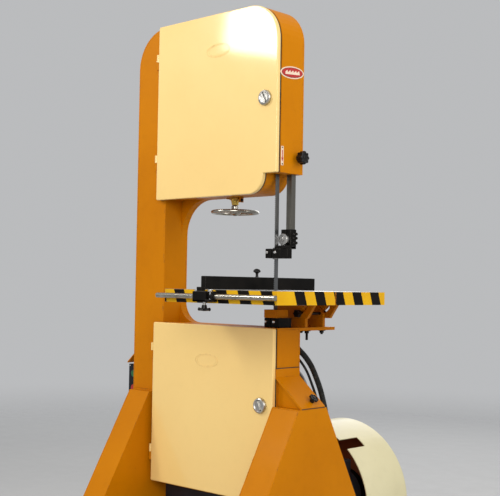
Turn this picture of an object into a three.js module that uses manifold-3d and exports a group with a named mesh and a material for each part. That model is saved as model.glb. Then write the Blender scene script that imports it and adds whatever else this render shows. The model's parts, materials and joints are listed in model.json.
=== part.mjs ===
// Floor-standing woodworking band saw with 500 mm wheels.
// Units are millimetres, +Z is up and the operator stands on the -Y side.
// The saw is laid out with X = 0 at the free edge of the doors, Y = 0 at their outer face and Z = 0 on the
// floor. The whole machine is then moved so that the origin is under the middle of its bounding box.

import * as THREE from 'three';
import { mergeVertices } from 'three/addons/utils/BufferGeometryUtils.js';
import Module from 'manifold-3d';

const wasm = await Module();
wasm.setup();

// ---------------------------------------------------------------- driving dimensions
const GAP = 0.3;                 // air between pieces that touch
const SHEET = 5;                 // frame sheet
const FRONT = 20;                // front edge of the frame boxes
const BACK = 126;                // rear face of the frame
const BACK_SHEET = 6;
const BACK_FRONT = BACK - BACK_SHEET;

const COLUMN_LEFT = -675;
const COLUMN_FOOT = 655;
const THROAT_LEFT = -525;
const FRAME_TOP = 1912;
const TOP_LEFT_RADIUS = 130;
const TOP_RIGHT_RADIUS = 120;
const GUIDE_BOX_FLOOR = 1376;
const GUIDE_BOX_LEFT = -56;
const HEAD_FLOOR = 1316;         // underside of the upper wheel box
const HEAD_CORNER_RADIUS = 70;
const THROAT_TOP_RADIUS = 120;
const THROAT_FOOT_RADIUS = 75;
const BASE_TOP = 894;            // top of the lower wheel box
const BASE_FLOOR = 350;
const BASE_LEFT = -562;

const WHEEL_RADIUS = 250;
const WHEEL_WIDTH = 30;
const TYRE = 6;
const WHEEL_X = -302;
const WHEEL_Y = 63;
const UPPER_WHEEL_Z = 1608;
const LOWER_WHEEL_Z = 625;
const BLADE_WIDTH = 20;
const BLADE_THICKNESS = 1;
const BLADE_CLEARANCE = 0.8;
const BLADE_X = WHEEL_X + WHEEL_RADIUS + BLADE_CLEARANCE + BLADE_THICKNESS / 2;

const DOOR_LEFT = -553;
const DOOR_RIGHT = -1;
const DOOR_SHEET = 2.5;
const DOOR_BACK = FRONT - GAP;
const UPPER_DOOR_FOOT = 1312;
const UPPER_DOOR_NOTCH = 1375;
const LOWER_DOOR_FOOT = 356;
const LOWER_DOOR_TOP = 894;
const HINGE_X = -559.5;
const HINGE_Y = 5;
const HINGE_RADIUS = 5.5;
const HINGE_LENGTH = 53;
const PIN_RADIUS = 2.8;
const LOWER_HINGES = [452, 797];
const UPPER_HINGES = [1441, 1791];
const HINGES = [...LOWER_HINGES, ...UPPER_HINGES];
const LOCK_X = -49;
const LOCK_HEIGHTS = [1610, 655];

const TABLE_TOP = 1010;
const TABLE_LEFT = -275;
const TABLE_RIGHT = 190;
const TABLE_FRONT = -200;
const TABLE_BACK = 311;
const TABLE_PLATE = 12;
const TABLE_APRON = 40;
const TABLE_WALL = 8;
const INSERT_RADIUS = 30;
const INSERT_THICKNESS = 4;

const LEG_TOP = COLUMN_FOOT - GAP;
const FOOT_PLATE = 10;
const LEG_FOOT = FOOT_PLATE - 1;
const LEG_FRONT = 0;
const LEG_BACK = 130;
const LEG_FRONT_SPREAD = 0.56;   // forward travel for each unit of drop
const LEG_BACK_SPREAD = 0.53;
const LEFT_LEG = [-670, -568];
const RIGHT_LEG = [GAP, 107];

const CAP_TOP = 745;
const CAP_FOOT = 660;
const CAP_KNOB = [90, 78];
const STUD_RADIUS = 6;

const DRUM_X = -204;
const DRUM_Z = 285;
const DRUM_RADIUS = 263;
const DRUM_FRONT = 415;
const DRUM_BACK = 644;
const DRUM_SHEET = 3;

const MOTOR_RADIUS = 92;
const MOTOR_FRONT = 425;
const MOTOR_BACK = 615;
const MOTOR_PULLEY_RADIUS = 56;
const DRIVEN_PULLEY_RADIUS = 140;
const PULLEY_FRONT = 333;
const PULLEY_WIDTH = 44;
const BELT_WIDTH = 10;
const BELT_DEPTH = 8;
const GROOVE_WIDTH = 11;
const GROOVE_DEPTH = 9;
const BELT_OFFSETS = [12, 32];   // groove centres behind the pulley's front face

const SCREW_X = -278;
const SCREW_Y = 109;
const SCREW_RADIUS = 8;
const HANDWHEEL_Z = 1267;
const HANDWHEEL_RADIUS = 75;

const POST_X = -24;
const POST_Y = 100;
const POST_SIDE = 20;
const POST_FOOT = 1152;
const POST_LENGTH = 525;
const POST_LOCK_Z = 1427;

const FOOT_DEPTHS = [[-375, -250], [372, 497]];

const MACHINE_LEFT = -731;       // outer edge of the switch hood
const MACHINE_RIGHT = 196;       // right end of the fence rail
const MACHINE_FRONT = -375;      // front edge of the foot plates

// ---------------------------------------------------------------- materials
const finish = (color, roughness, metalness) =>
  new THREE.MeshStandardMaterial({ color, roughness, metalness });
const orange = finish(0xd88207, 0.45, 0.1);
const cream = finish(0xf2d596, 0.4, 0.1);
const guardCream = finish(0xd9d2a8, 0.5, 0.1);
const black = finish(0x17171a, 0.5, 0.2);
const castIron = finish(0x55585c, 0.6, 0.6);
const steel = finish(0x9a9a98, 0.35, 0.9);
const chrome = finish(0xd9d9d6, 0.15, 1.0);
const bladeSteel = finish(0x4c4f52, 0.4, 0.9);
const brass = finish(0xb58a2c, 0.35, 0.9);
const rubber = finish(0x1d1d1c, 0.85, 0.0);
const motorGrey = finish(0x3b424a, 0.5, 0.3);
const red = finish(0xa81c14, 0.4, 0.0);
const green = finish(0x1d7a38, 0.4, 0.0);
const aluminium = finish(0xb9bbbd, 0.4, 0.9);

// ---------------------------------------------------------------- solid helpers
function solidOf(geometry) {
  geometry.deleteAttribute('normal');
  geometry.deleteAttribute('uv');
  const merged = mergeVertices(geometry, 1e-4);
  return new wasm.Manifold(new wasm.Mesh({
    numProp: 3,
    vertProperties: new Float32Array(merged.attributes.position.array),
    triVerts: new Uint32Array(merged.index.array),
  }));
}

function geometryOf(solid) {
  const { vertProperties, triVerts } = solid.getMesh();
  const geometry = new THREE.BufferGeometry();
  geometry.setAttribute('position', new THREE.BufferAttribute(new Float32Array(vertProperties), 3));
  geometry.setIndex(new THREE.BufferAttribute(new Uint32Array(triVerts), 1));
  geometry.computeVertexNormals();
  return geometry;
}

const join = (first, ...rest) => rest.reduce((whole, next) => whole.add(next), first);
const cut = (first, ...rest) => rest.reduce((whole, next) => whole.subtract(next), first);

const block = (x, y, z) => solidOf(
  new THREE.BoxGeometry(x[1] - x[0], y[1] - y[0], z[1] - z[0])
    .translate((x[0] + x[1]) / 2, (y[0] + y[1]) / 2, (z[0] + z[1]) / 2));

// A rod along one axis: "along" is x, y or z, "at" the two other coordinates in alphabetical order.
function rod(along, at, radius, from, to, sides = 16) {
  const geometry = new THREE.CylinderGeometry(radius, radius, to - from, sides);
  const middle = (from + to) / 2;
  if (along === 'x') geometry.rotateZ(-Math.PI / 2).translate(middle, at[0], at[1]);
  if (along === 'y') geometry.translate(at[0], middle, at[1]);
  if (along === 'z') geometry.rotateX(Math.PI / 2).translate(at[0], at[1], middle);
  return solidOf(geometry);
}

const extrudeShape = (points, depth) => new THREE.ExtrudeGeometry(
  new THREE.Shape(points.map(([a, b]) => new THREE.Vector2(a, b))), { depth, bevelEnabled: false });

// An outline in X and Z made solid between two values of Y.
const plateXZ = (points, [from, to]) => solidOf(
  extrudeShape(points, to - from).rotateX(Math.PI / 2).translate(0, to, 0));

// An outline in Y and Z made solid between two values of X.
function plateYZ(points, [from, to]) {
  const turn = new THREE.Matrix4().makeBasis(
    new THREE.Vector3(0, 1, 0), new THREE.Vector3(0, 0, 1), new THREE.Vector3(1, 0, 0));
  return solidOf(extrudeShape(points, to - from).applyMatrix4(turn).translate(from, 0, 0));
}

// A profile of [radius, height] pairs spun about a line along Y or Z through the origin.
function spun(profile, along, sides = 24) {
  const geometry = new THREE.LatheGeometry(profile.map(([r, h]) => new THREE.Vector2(r, h)), sides);
  if (along === 'z') geometry.rotateX(Math.PI / 2);
  return solidOf(geometry);
}

function arc([x, z], radius, fromDegrees, toDegrees, steps = 10) {
  return Array.from({ length: steps + 1 }, (_, i) => {
    const angle = THREE.MathUtils.degToRad(fromDegrees + (toDegrees - fromDegrees) * i / steps);
    return [x + radius * Math.cos(angle), z + radius * Math.sin(angle)];
  });
}

// Moves a path sideways, to its right as it is walked.
function offsetRight(path, distance) {
  const normal = (a, b) => {
    const length = Math.hypot(b[0] - a[0], b[1] - a[1]);
    return [(b[1] - a[1]) / length, -(b[0] - a[0]) / length];
  };
  return path.map((point, i) => {
    const before = normal(path[Math.max(i - 1, 0)], path[Math.max(i, 1)]);
    const after = normal(path[Math.min(i, path.length - 2)], path[Math.min(i + 1, path.length - 1)]);
    const scale = distance / (1 + before[0] * after[0] + before[1] * after[1]);
    return [point[0] + (before[0] + after[0]) * scale, point[1] + (before[1] + after[1]) * scale];
  });
}

// A bent strip of sheet: the path is its outer line in X and Z, its thickness lies to the right.
const strip = (path, thickness, depth) =>
  plateXZ([...path, ...offsetRight(path, thickness).reverse()], depth);

// ---------------------------------------------------------------- scene graph helpers
const saw = new THREE.Group();

function addPart(parent, name, solid, material, position = [0, 0, 0]) {
  const part = new THREE.Mesh(geometryOf(solid), material);
  part.name = name;
  part.position.set(...position);
  parent.add(part);
  return part;
}

function addGroup(parent, position) {
  const group = new THREE.Group();
  group.position.set(...position);
  parent.add(group);
  return group;
}

// ---------------------------------------------------------------- welded C-shaped frame
const outerPath = [
  [COLUMN_LEFT, COLUMN_FOOT],
  ...arc([COLUMN_LEFT + TOP_LEFT_RADIUS, FRAME_TOP - TOP_LEFT_RADIUS], TOP_LEFT_RADIUS, 180, 90),
  ...arc([-TOP_RIGHT_RADIUS, FRAME_TOP - TOP_RIGHT_RADIUS], TOP_RIGHT_RADIUS, 90, 0),
  [0, GUIDE_BOX_FLOOR],
  [GUIDE_BOX_LEFT, GUIDE_BOX_FLOOR],
];
const throatPath = [
  ...arc([GUIDE_BOX_LEFT - HEAD_CORNER_RADIUS, HEAD_FLOOR + HEAD_CORNER_RADIUS],
    HEAD_CORNER_RADIUS, -8, -90, 8),
  ...arc([THROAT_LEFT + THROAT_TOP_RADIUS, HEAD_FLOOR - THROAT_TOP_RADIUS], THROAT_TOP_RADIUS, 90, 180),
  ...arc([THROAT_LEFT + THROAT_FOOT_RADIUS, BASE_TOP + THROAT_FOOT_RADIUS], THROAT_FOOT_RADIUS, 180, 270, 8),
  [0, BASE_TOP],
];
// The column's side meets the head and the base in square corners, filled at the back by corner plates.
const throatSheet = [
  ...throatPath.slice(0, 9),
  [THROAT_LEFT, HEAD_FLOOR],
  [THROAT_LEFT, BASE_TOP],
  [0, BASE_TOP],
];
const CORNER_DEPTH = [98, BACK_FRONT - GAP];
const basePath = [
  [0, BASE_TOP - SHEET - GAP],
  [0, BASE_FLOOR],
  [BASE_LEFT, BASE_FLOOR],
  [BASE_LEFT, COLUMN_FOOT],
  [COLUMN_LEFT + SHEET + GAP, COLUMN_FOOT],
];
const BOX_DEPTH = [FRONT, BACK_FRONT - GAP];
const BLADE_SLOT = block([BLADE_X - 6, BLADE_X + 6], [WHEEL_Y - 18, WHEEL_Y + 18], [BASE_TOP - 20, 1400]);

function addFrame() {
  const slideRail = (inner, side) => join(
    block([inner, inner + side * 14].sort((a, b) => a - b), [92, BACK_FRONT + 1], [1480, 1720]),
    block([inner - side * 9, inner + side * 14].sort((a, b) => a - b), [92, 97.5], [1480, 1720]));
  const backOutline = [...outerPath, ...throatPath, [0, BASE_FLOOR], [BASE_LEFT, BASE_FLOOR],
    [BASE_LEFT, COLUMN_FOOT]];
  addPart(saw, 'back_plate', cut(
    join(plateXZ(backOutline, [BACK_FRONT, BACK]), slideRail(-362.5, -1), slideRail(-231.5, 1)),
    rod('y', [WHEEL_X, LOWER_WHEEL_Z], 28, BACK_FRONT - 5, BACK + 5)), orange);

  const postHole = block([POST_X - 10.5, POST_X + 10.5], [POST_Y - 10.5, POST_Y + 10.5],
    [GUIDE_BOX_FLOOR - 5, GUIDE_BOX_FLOOR + 20]);
  const [upperLock, lowerLock] = LOCK_HEIGHTS;
  addPart(saw, 'outer_wrap', cut(join(strip(outerPath, SHEET, BOX_DEPTH), catchLug(upperLock)), postHole, BLADE_SLOT,
    rod('x', [POST_Y, POST_LOCK_Z], STUD_RADIUS + 0.8, -20, 20)), orange);
  const throat = join(strip(throatSheet, SHEET, BOX_DEPTH), throatCorner(HEAD_FLOOR, THROAT_TOP_RADIUS, -1),
    throatCorner(BASE_TOP, THROAT_FOOT_RADIUS, 1));
  addPart(saw, 'throat_wrap', cut(throat, BLADE_SLOT,
    rod('z', [SCREW_X, SCREW_Y], SCREW_RADIUS + 0.6, HEAD_FLOOR - 10, HEAD_FLOOR + 20)), orange);
  const chuteMouth = block([-480, -80], [32, 108], [BASE_FLOOR - 10, BASE_FLOOR + 20]);
  const [lowestHinge, ...columnHinges] = HINGES;
  const foot = join(strip(basePath, SHEET, BOX_DEPTH), fixedKnuckle(lowestHinge), catchLug(lowerLock));
  addPart(saw, 'base_wrap', cut(foot, chuteMouth), orange);

  const inside = COLUMN_LEFT + SHEET + GAP;
  const corner = TOP_LEFT_RADIUS - SHEET - GAP;
  const right = THROAT_LEFT - SHEET - GAP;
  const top = FRAME_TOP - SHEET - GAP;
  addPart(saw, 'column_front', join(plateXZ([
    [inside, COLUMN_FOOT + SHEET + GAP],
    [right, COLUMN_FOOT + SHEET + GAP],
    [right, top],
    ...arc([inside + corner, top - corner], corner, 90, 180),
  ], [FRONT, FRONT + 4]), ...columnHinges.map(fixedKnuckle)), orange);

  const chute = cut(block([-500, -60], [24, 118], [250, BASE_FLOOR - GAP]),
    block([-497, -63], [27, 115], [240, BASE_FLOOR + 10]));
  addPart(saw, 'sawdust_chute', chute, black);
}

// The plate between a square throat corner and the curve of the back plate; "inward" is up or down the throat.
function throatCorner(level, radius, inward) {
  const centre = [THROAT_LEFT + radius, level + inward * radius];
  const outer = level - inward;
  return plateXZ([[THROAT_LEFT - 1, outer], [centre[0], outer],
    ...arc(centre, radius, -90 * inward, -180 * inward), [THROAT_LEFT - 1, centre[1]]], CORNER_DEPTH);
}

// ---------------------------------------------------------------- legs
function legSide(inset) {
  const drop = LEG_TOP - LEG_FOOT;
  return [
    [LEG_FRONT + inset - LEG_FRONT_SPREAD * (drop + inset), LEG_FOOT - inset],
    [LEG_BACK - inset + LEG_BACK_SPREAD * (drop + inset), LEG_FOOT - inset],
    [LEG_BACK - inset + LEG_BACK_SPREAD * inset, LEG_TOP - inset],
    [LEG_FRONT + inset - LEG_FRONT_SPREAD * inset, LEG_TOP - inset],
  ];
}

function addLegs() {
  for (const [name, [from, to]] of [['left_leg', LEFT_LEG], ['right_leg', RIGHT_LEG]]) {
    const shell = cut(plateYZ(legSide(0), [from, to]),
      plateYZ(legSide(SHEET), [from + SHEET, to - SHEET]));
    const feet = FOOT_DEPTHS.map((depth) => block([from, to], depth, [0, FOOT_PLATE]));
    const pads = name === 'left_leg' ? [block([to - 1, BASE_LEFT - GAP], [40, 110], [380, 640])] : [];
    addPart(saw, name, join(shell, ...feet, ...pads), orange);
  }

  // Sloping cap that ties the top of the right leg to the side of the base box, and its knob.
  const rise = CAP_TOP - CAP_FOOT;
  const run = RIGHT_LEG[1] - 4;
  const lean = THREE.MathUtils.radToDeg(Math.atan2(rise, run));
  const slope = [[GAP, CAP_TOP + 25], [4, CAP_TOP + 25], [4, CAP_TOP], [4 + run, CAP_FOOT],
    [4 + run, COLUMN_FOOT], [4 + run - 5, COLUMN_FOOT], [GAP, CAP_TOP - 4]];
  const cheek = [[GAP, COLUMN_FOOT], [4 + run - 5, COLUMN_FOOT], [GAP, CAP_TOP - 4]];
  const knobAt = [CAP_KNOB[0], CAP_KNOB[1], CAP_TOP - (CAP_KNOB[0] - 4) * rise / run];
  const studHole = rod('z', [0, 0], STUD_RADIUS + 0.8, -20, 20).rotate([0, lean, 0]).translate(knobAt);
  addPart(saw, 'right_leg_cap', cut(join(plateXZ(slope, [12, 122]), plateXZ(cheek, [26, 30]),
    plateXZ(cheek, [112, 116])), studHole), orange);
  addPart(saw, 'leg_cap_knob', lobedKnob(-12, 3, 19, 12).rotate([0, lean, 0]), black, knobAt);
}

// A clamp knob with eight lobes on its stud, along Z: the stud's foot, the collar's foot, the knob's top and
// the radius of its body.
function lobedKnob(foot, collar, top, radius) {
  const lobes = Array.from({ length: 8 }, (_, i) =>
    rod('z', [radius - 0.5, 0], 4.5, collar + 8, top, 8).rotate([0, 0, i * 45]));
  return join(rod('z', [0, 0], STUD_RADIUS, foot, collar + 9),
    rod('z', [0, 0], radius * 0.63, collar, collar + 9),
    rod('z', [0, 0], radius, collar + 8, top), ...lobes);
}

// ---------------------------------------------------------------- doors
function hingeBarrel(z) {
  const half = HINGE_LENGTH / 2;
  return cut(join(
    rod('z', [HINGE_X, HINGE_Y], HINGE_RADIUS, z + GAP / 2, z + half, 16),
    block([HINGE_X, DOOR_LEFT + 1], [HINGE_Y - 3, HINGE_Y + 3], [z + GAP / 2, z + half])),
  rod('z', [HINGE_X, HINGE_Y], PIN_RADIUS + 0.25, z - 1, z + half - 3, 16));
}

function fixedKnuckle(z) {
  const half = HINGE_LENGTH / 2;
  return join(
    rod('z', [HINGE_X, HINGE_Y], HINGE_RADIUS, z - half, z - GAP / 2, 16),
    block([HINGE_X - 5, HINGE_X + 1.5], [HINGE_Y, FRONT + 2], [z - half, z - GAP / 2]),
    rod('z', [HINGE_X, HINGE_Y], PIN_RADIUS, z - 2, z + half - 4, 16));
}

function doorPan(outline, hinges, lockZ) {
  const pan = cut(plateXZ(outline, [0, DOOR_BACK]),
    plateXZ(offsetClosed(outline, DOOR_SHEET), [DOOR_SHEET, DOOR_BACK + 5]),
    rod('y', [LOCK_X, lockZ], 5.5, -5, 10));
  return join(pan, ...hinges.map(hingeBarrel));
}

// Shrinks a closed outline that is walked clockwise.
function offsetClosed(outline, distance) {
  const ring = [outline.at(-1), ...outline, outline[0]];
  return offsetRight(ring, distance).slice(1, -1);
}

function doorLock() {
  const knob = spun([[0, -13], [16, -13], [22, -10], [24.5, -6], [24.5, -2], [21, -GAP], [0, -GAP]], 'y');
  return join(knob, rod('y', [0, 0], 5, -2, 31, 12), block([-8, 8], [27, 31], [-9, 38]));
}

// The lug that a turned lock hooks behind, on the inside of the frame's right wall.
const catchLug = (z) => block([-18, 1 - SHEET], [FRONT + 0.5, FRONT + 6], [z - 10, z + 10]);

function addDoors() {
  const notchCorner = UPPER_DOOR_NOTCH - UPPER_DOOR_FOOT;
  const upperOutline = [
    [DOOR_LEFT, UPPER_DOOR_FOOT],
    [DOOR_LEFT, FRAME_TOP],
    ...arc([DOOR_RIGHT - TOP_RIGHT_RADIUS, FRAME_TOP - TOP_RIGHT_RADIUS], TOP_RIGHT_RADIUS, 90, 0),
    [DOOR_RIGHT, UPPER_DOOR_NOTCH],
    ...arc([GUIDE_BOX_LEFT - notchCorner, UPPER_DOOR_NOTCH], notchCorner, 0, -90, 8),
  ];
  const lowerOutline = [[DOOR_LEFT, LOWER_DOOR_FOOT], [DOOR_LEFT, LOWER_DOOR_TOP],
    [DOOR_RIGHT, LOWER_DOOR_TOP], [DOOR_RIGHT, LOWER_DOOR_FOOT]];
  const [upperLock, lowerLock] = LOCK_HEIGHTS;
  addPart(saw, 'upper_door', doorPan(upperOutline, UPPER_HINGES, upperLock), cream);
  addPart(saw, 'lower_door', doorPan(lowerOutline, LOWER_HINGES, lowerLock), cream);
  addPart(saw, 'upper_lock', doorLock(), chrome, [LOCK_X, 0, upperLock]);
  addPart(saw, 'lower_lock', doorLock(), chrome, [LOCK_X, 0, lowerLock]);
}

// ---------------------------------------------------------------- band wheels and blade
const AXLE_RADIUS = 15;
const SHAFT_RADIUS = 20;

function bandWheel(bore) {
  const rim = WHEEL_RADIUS - TYRE - GAP;
  const half = WHEEL_WIDTH / 2;
  const ring = spun([[rim - 14, -half], [rim, -half], [rim, half], [rim - 14, half], [rim - 14, -half]], 'y', 48);
  const hub = spun([[0, -half - 3], [36, -half - 3], [36, half + 5], [0, half + 5]], 'y');
  const spokes = Array.from({ length: 6 }, (_, i) =>
    block([20, rim - 8], [-7, 7], [-13, 13]).rotate([0, i * 60, 0]));
  return cut(join(ring, hub, ...spokes), rod('y', [0, 0], bore, -40, 40, 20));
}

const tyre = () => spun([
  [WHEEL_RADIUS - TYRE, -WHEEL_WIDTH / 2], [WHEEL_RADIUS, -WHEEL_WIDTH / 2],
  [WHEEL_RADIUS, WHEEL_WIDTH / 2], [WHEEL_RADIUS - TYRE, WHEEL_WIDTH / 2],
  [WHEEL_RADIUS - TYRE, -WHEEL_WIDTH / 2]], 'y', 48);

// The outline of a loop round two pulleys, one above the other: an upper and a lower centre and radius.
function loopOutline([upper, upperRadius], [lower, lowerRadius], steps) {
  const dx = upper[0] - lower[0];
  const dz = upper[1] - lower[1];
  const lean = THREE.MathUtils.radToDeg(Math.atan2(dz, dx));
  const wrap = THREE.MathUtils.radToDeg(Math.acos((lowerRadius - upperRadius) / Math.hypot(dx, dz)));
  return [
    ...arc(upper, upperRadius, lean + wrap, lean - wrap, steps),
    ...arc(lower, lowerRadius, lean - wrap, lean + wrap - 360, steps),
  ];
}

function loopBand(upper, lower, thickness, depth, steps) {
  const outer = loopOutline([upper[0], upper[1] + thickness], [lower[0], lower[1] + thickness], steps);
  const inner = loopOutline(upper, lower, steps);
  return cut(plateXZ(outer, depth), plateXZ(inner, [depth[0] - 1, depth[1] + 1]));
}

function addWheels() {
  const slide = cut(
    block([-362, -232], [98, BACK_FRONT - GAP], [1540, 1676]),
    rod('z', [SCREW_X, SCREW_Y], SCREW_RADIUS + 0.4, 1530, 1640),
    rod('y', [WHEEL_X, UPPER_WHEEL_Z], AXLE_RADIUS + GAP, 90, 130));
  addPart(saw, 'tension_slide', slide, castIron);
  addPart(saw, 'upper_axle', join(rod('y', [0, 0], AXLE_RADIUS, -22, 54), rod('y', [0, 0], 19, -27, -20.5, 6)),
    steel, [WHEEL_X, WHEEL_Y, UPPER_WHEEL_Z]);
  const upper = addGroup(saw, [WHEEL_X, WHEEL_Y, UPPER_WHEEL_Z]);
  addPart(upper, 'upper_wheel', bandWheel(AXLE_RADIUS + GAP), castIron);
  addPart(upper, 'upper_tyre', tyre(), rubber);

  const lower = addGroup(saw, [WHEEL_X, WHEEL_Y, LOWER_WHEEL_Z]);
  addPart(lower, 'lower_wheel', bandWheel(SHAFT_RADIUS + GAP), castIron);
  addPart(lower, 'lower_tyre', tyre(), rubber);
  addPart(lower, 'lower_shaft', join(rod('y', [0, 0], SHAFT_RADIUS, -22, 322, 20),
    rod('y', [0, 0], 26, -28, -20.5, 6)), steel);

  const housing = spun([[26, 0], [62, 0], [62, 14], [46, 20], [42, 164], [26, 164], [26, 0]], 'y');
  addPart(saw, 'lower_bearing_housing', housing, castIron,
    [WHEEL_X, BACK + GAP, LOWER_WHEEL_Z]);

  const run = WHEEL_RADIUS + BLADE_CLEARANCE;
  addPart(saw, 'saw_blade', loopBand(
    [[WHEEL_X, UPPER_WHEEL_Z], run], [[WHEEL_X, LOWER_WHEEL_Z], run], BLADE_THICKNESS,
    [WHEEL_Y - BLADE_WIDTH / 2, WHEEL_Y + BLADE_WIDTH / 2], 24), bladeSteel);
}

// ---------------------------------------------------------------- blade tension handwheel
function addTension() {
  const handle = addGroup(saw, [SCREW_X, SCREW_Y, HANDWHEEL_Z]);
  const rim = solidOf(new THREE.TorusGeometry(HANDWHEEL_RADIUS, 6, 8, 32));
  const spokes = Array.from({ length: 3 }, (_, i) =>
    rod('x', [0, 2], 5, 8, HANDWHEEL_RADIUS - 2, 8).rotate([0, 0, i * 120]));
  const hub = spun([[0, -12], [12, -12], [17, -8], [17, 10], [12, 22], [0, 22]], 'z');
  const screw = rod('z', [0, 0], SCREW_RADIUS, 20, 353);
  addPart(handle, 'tension_handwheel', join(rim, hub, screw, ...spokes), chrome);

  const bush = spun([[SCREW_RADIUS + GAP, 0], [11, 0], [15, 18], [20, 18], [20, 25], [SCREW_RADIUS + GAP, 25],
    [SCREW_RADIUS + GAP, 0]], 'z', 20);
  addPart(saw, 'tension_bush', bush, brass, [SCREW_X, SCREW_Y, HEAD_FLOOR - 25 - GAP]);
}

// ---------------------------------------------------------------- blade guides
const GUIDE_FRONT = 40;
const GUIDE_HALF_WIDTH = 31;
const GUIDE_HEIGHT = 30;
const GUIDE_X = -45;
const ROLLER_HALF_WIDTH = 6;
const ROLLER_X = -48;            // lower thrust roller, edge on to the blade
const BLADE_BACK = WHEEL_Y + BLADE_WIDTH / 2;
const DISC_RADIUS = 18.5;        // upper thrust disc, face on to the blade
const DISC_X = -34;
const DISC_Z = 1171;
const DISC_Y = BLADE_BACK + 1 + ROLLER_HALF_WIDTH;

function guideBlock(bottom, back) {
  return cut(
    block([GUIDE_X - GUIDE_HALF_WIDTH, GUIDE_X + GUIDE_HALF_WIDTH], [GUIDE_FRONT, back],
      [bottom, bottom + GUIDE_HEIGHT]),
    block([BLADE_X - 1.2, BLADE_X + 1.2], [GUIDE_FRONT - 5, BLADE_BACK + 1.5],
      [bottom - 5, bottom + GUIDE_HEIGHT + 5]));
}

function addGuides() {
  const half = POST_SIDE / 2;
  addPart(saw, 'guide_post', block([POST_X - half, POST_X + half], [POST_Y - half, POST_Y + half],
    [POST_FOOT, POST_FOOT + POST_LENGTH]), steel);

  const hole = half + GAP;
  const sleeve = cut(
    block([POST_X - 18, POST_X + 18], [POST_Y - 18, BACK_FRONT - GAP], [GUIDE_BOX_FLOOR + 5.5, 1540]),
    block([POST_X - hole, POST_X + hole], [POST_Y - hole, POST_Y + hole], [1300, 1600]),
    rod('x', [POST_Y, POST_LOCK_Z], STUD_RADIUS + 0.8, POST_X, 20));
  addPart(saw, 'post_sleeve', sleeve, castIron);

  const blockFoot = 1111;
  const blockTop = blockFoot + GUIDE_HEIGHT;
  const bracket = join(
    cut(block([-52, -11], [87, 113], [blockTop + GAP, 1203]),
      block([POST_X - hole, POST_X + hole], [POST_Y - hole, POST_Y + hole], [POST_FOOT - GAP, 1300])),
    block([-40, -11], [46, 89], [blockTop + GAP, blockTop + 10]),
    rod('y', [DISC_X, DISC_Z], 5, BLADE_BACK - 1, 89, 16));
  addPart(saw, 'upper_guide_bracket', bracket, black);
  addPart(saw, 'upper_guide_block', guideBlock(blockFoot, 97), black);
  addPart(saw, 'upper_thrust_roller', rollerSolid('y', DISC_RADIUS, 5), steel, [DISC_X, DISC_Y, DISC_Z]);

  const lowFoot = BASE_TOP + GAP;
  const lowRoller = 13;
  const lowAxis = BLADE_BACK + 1 + lowRoller;
  const pocket = block([ROLLER_X - 8, ROLLER_X + 8], [BLADE_BACK + 0.6, 120], [lowFoot - 5, lowFoot + 50]);
  const knobRoom = block([-32, -10], [100, 110], [lowFoot - 5, lowFoot + 50]);
  addPart(saw, 'lower_guide_block', join(
    cut(guideBlock(lowFoot, 106), pocket, knobRoom), rod('x', [lowAxis, lowFoot + 15], 4, -70, -20, 16)), black);
  addPart(saw, 'lower_thrust_roller', rollerSolid('x', lowRoller, 4), steel, [ROLLER_X, lowAxis, lowFoot + 15]);

  addPart(saw, 'post_lock_knob', lobedKnob(-13.5, 4, 34, 17.5).rotate([0, 90, 0]), black,
    [0, POST_Y, POST_LOCK_Z]);

  const guard = cut(block([-76, -24], [40, 94], [lowFoot + GUIDE_HEIGHT + GAP, 950]),
    block([-70, -30], [46, 88], [900, 960]));
  addPart(saw, 'lower_blade_guard', guard, orange);
}

const rollerSolid = (along, radius, bore) => cut(
  rod(along, [0, 0], radius, -ROLLER_HALF_WIDTH, ROLLER_HALF_WIDTH, 24),
  rod(along, [0, 0], bore + GAP, -20, 20));

// ---------------------------------------------------------------- table and its tilt
const TILT_X = BLADE_X;
const CLAMP_RADIUS = 80;         // clamp rod's distance from the tilt axis
const CLAMP_ANGLE = -64;         // its direction from the axis, measured from +X towards +Z
const MOST_TILT = 45;
const [[CLAMP_X, CLAMP_Z]] = arc([TILT_X, TABLE_TOP], CLAMP_RADIUS, CLAMP_ANGLE, CLAMP_ANGLE, 1);
const ROCKERS = [[139, 151.4], [252, 264]];
const CHEEKS = [[152, 164], [239.7, 251.7]];
const APRON_FOOT = TABLE_TOP - TABLE_APRON;

function rockerPlate(depth) {
  const outline = [[-150, TABLE_TOP - TABLE_PLATE - GAP], [48, TABLE_TOP - TABLE_PLATE - GAP],
    [48, APRON_FOOT], [15, 923], [-97, 923], [-135, APRON_FOOT]];
  const slotEdge = (radius, from, to) => arc([TILT_X, TABLE_TOP], radius, from, to, 10);
  const from = CLAMP_ANGLE - 5;
  const to = CLAMP_ANGLE + MOST_TILT + 4;
  const slot = [...slotEdge(CLAMP_RADIUS + 5.8, from, to), ...slotEdge(CLAMP_RADIUS - 5.8, to, from)];
  return cut(plateXZ(outline, depth), plateXZ(slot, [depth[0] - 1, depth[1] + 1]));
}

function cheekPlate(depth) {
  const foot = BASE_TOP - 1;
  return cut(plateXZ([[-110, foot], [-2, foot], [-2, 938], [-29, 965], [-110, 965]], depth),
    rod('y', [CLAMP_X, CLAMP_Z], 5.4, depth[0] - 1, depth[1] + 1));
}

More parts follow.
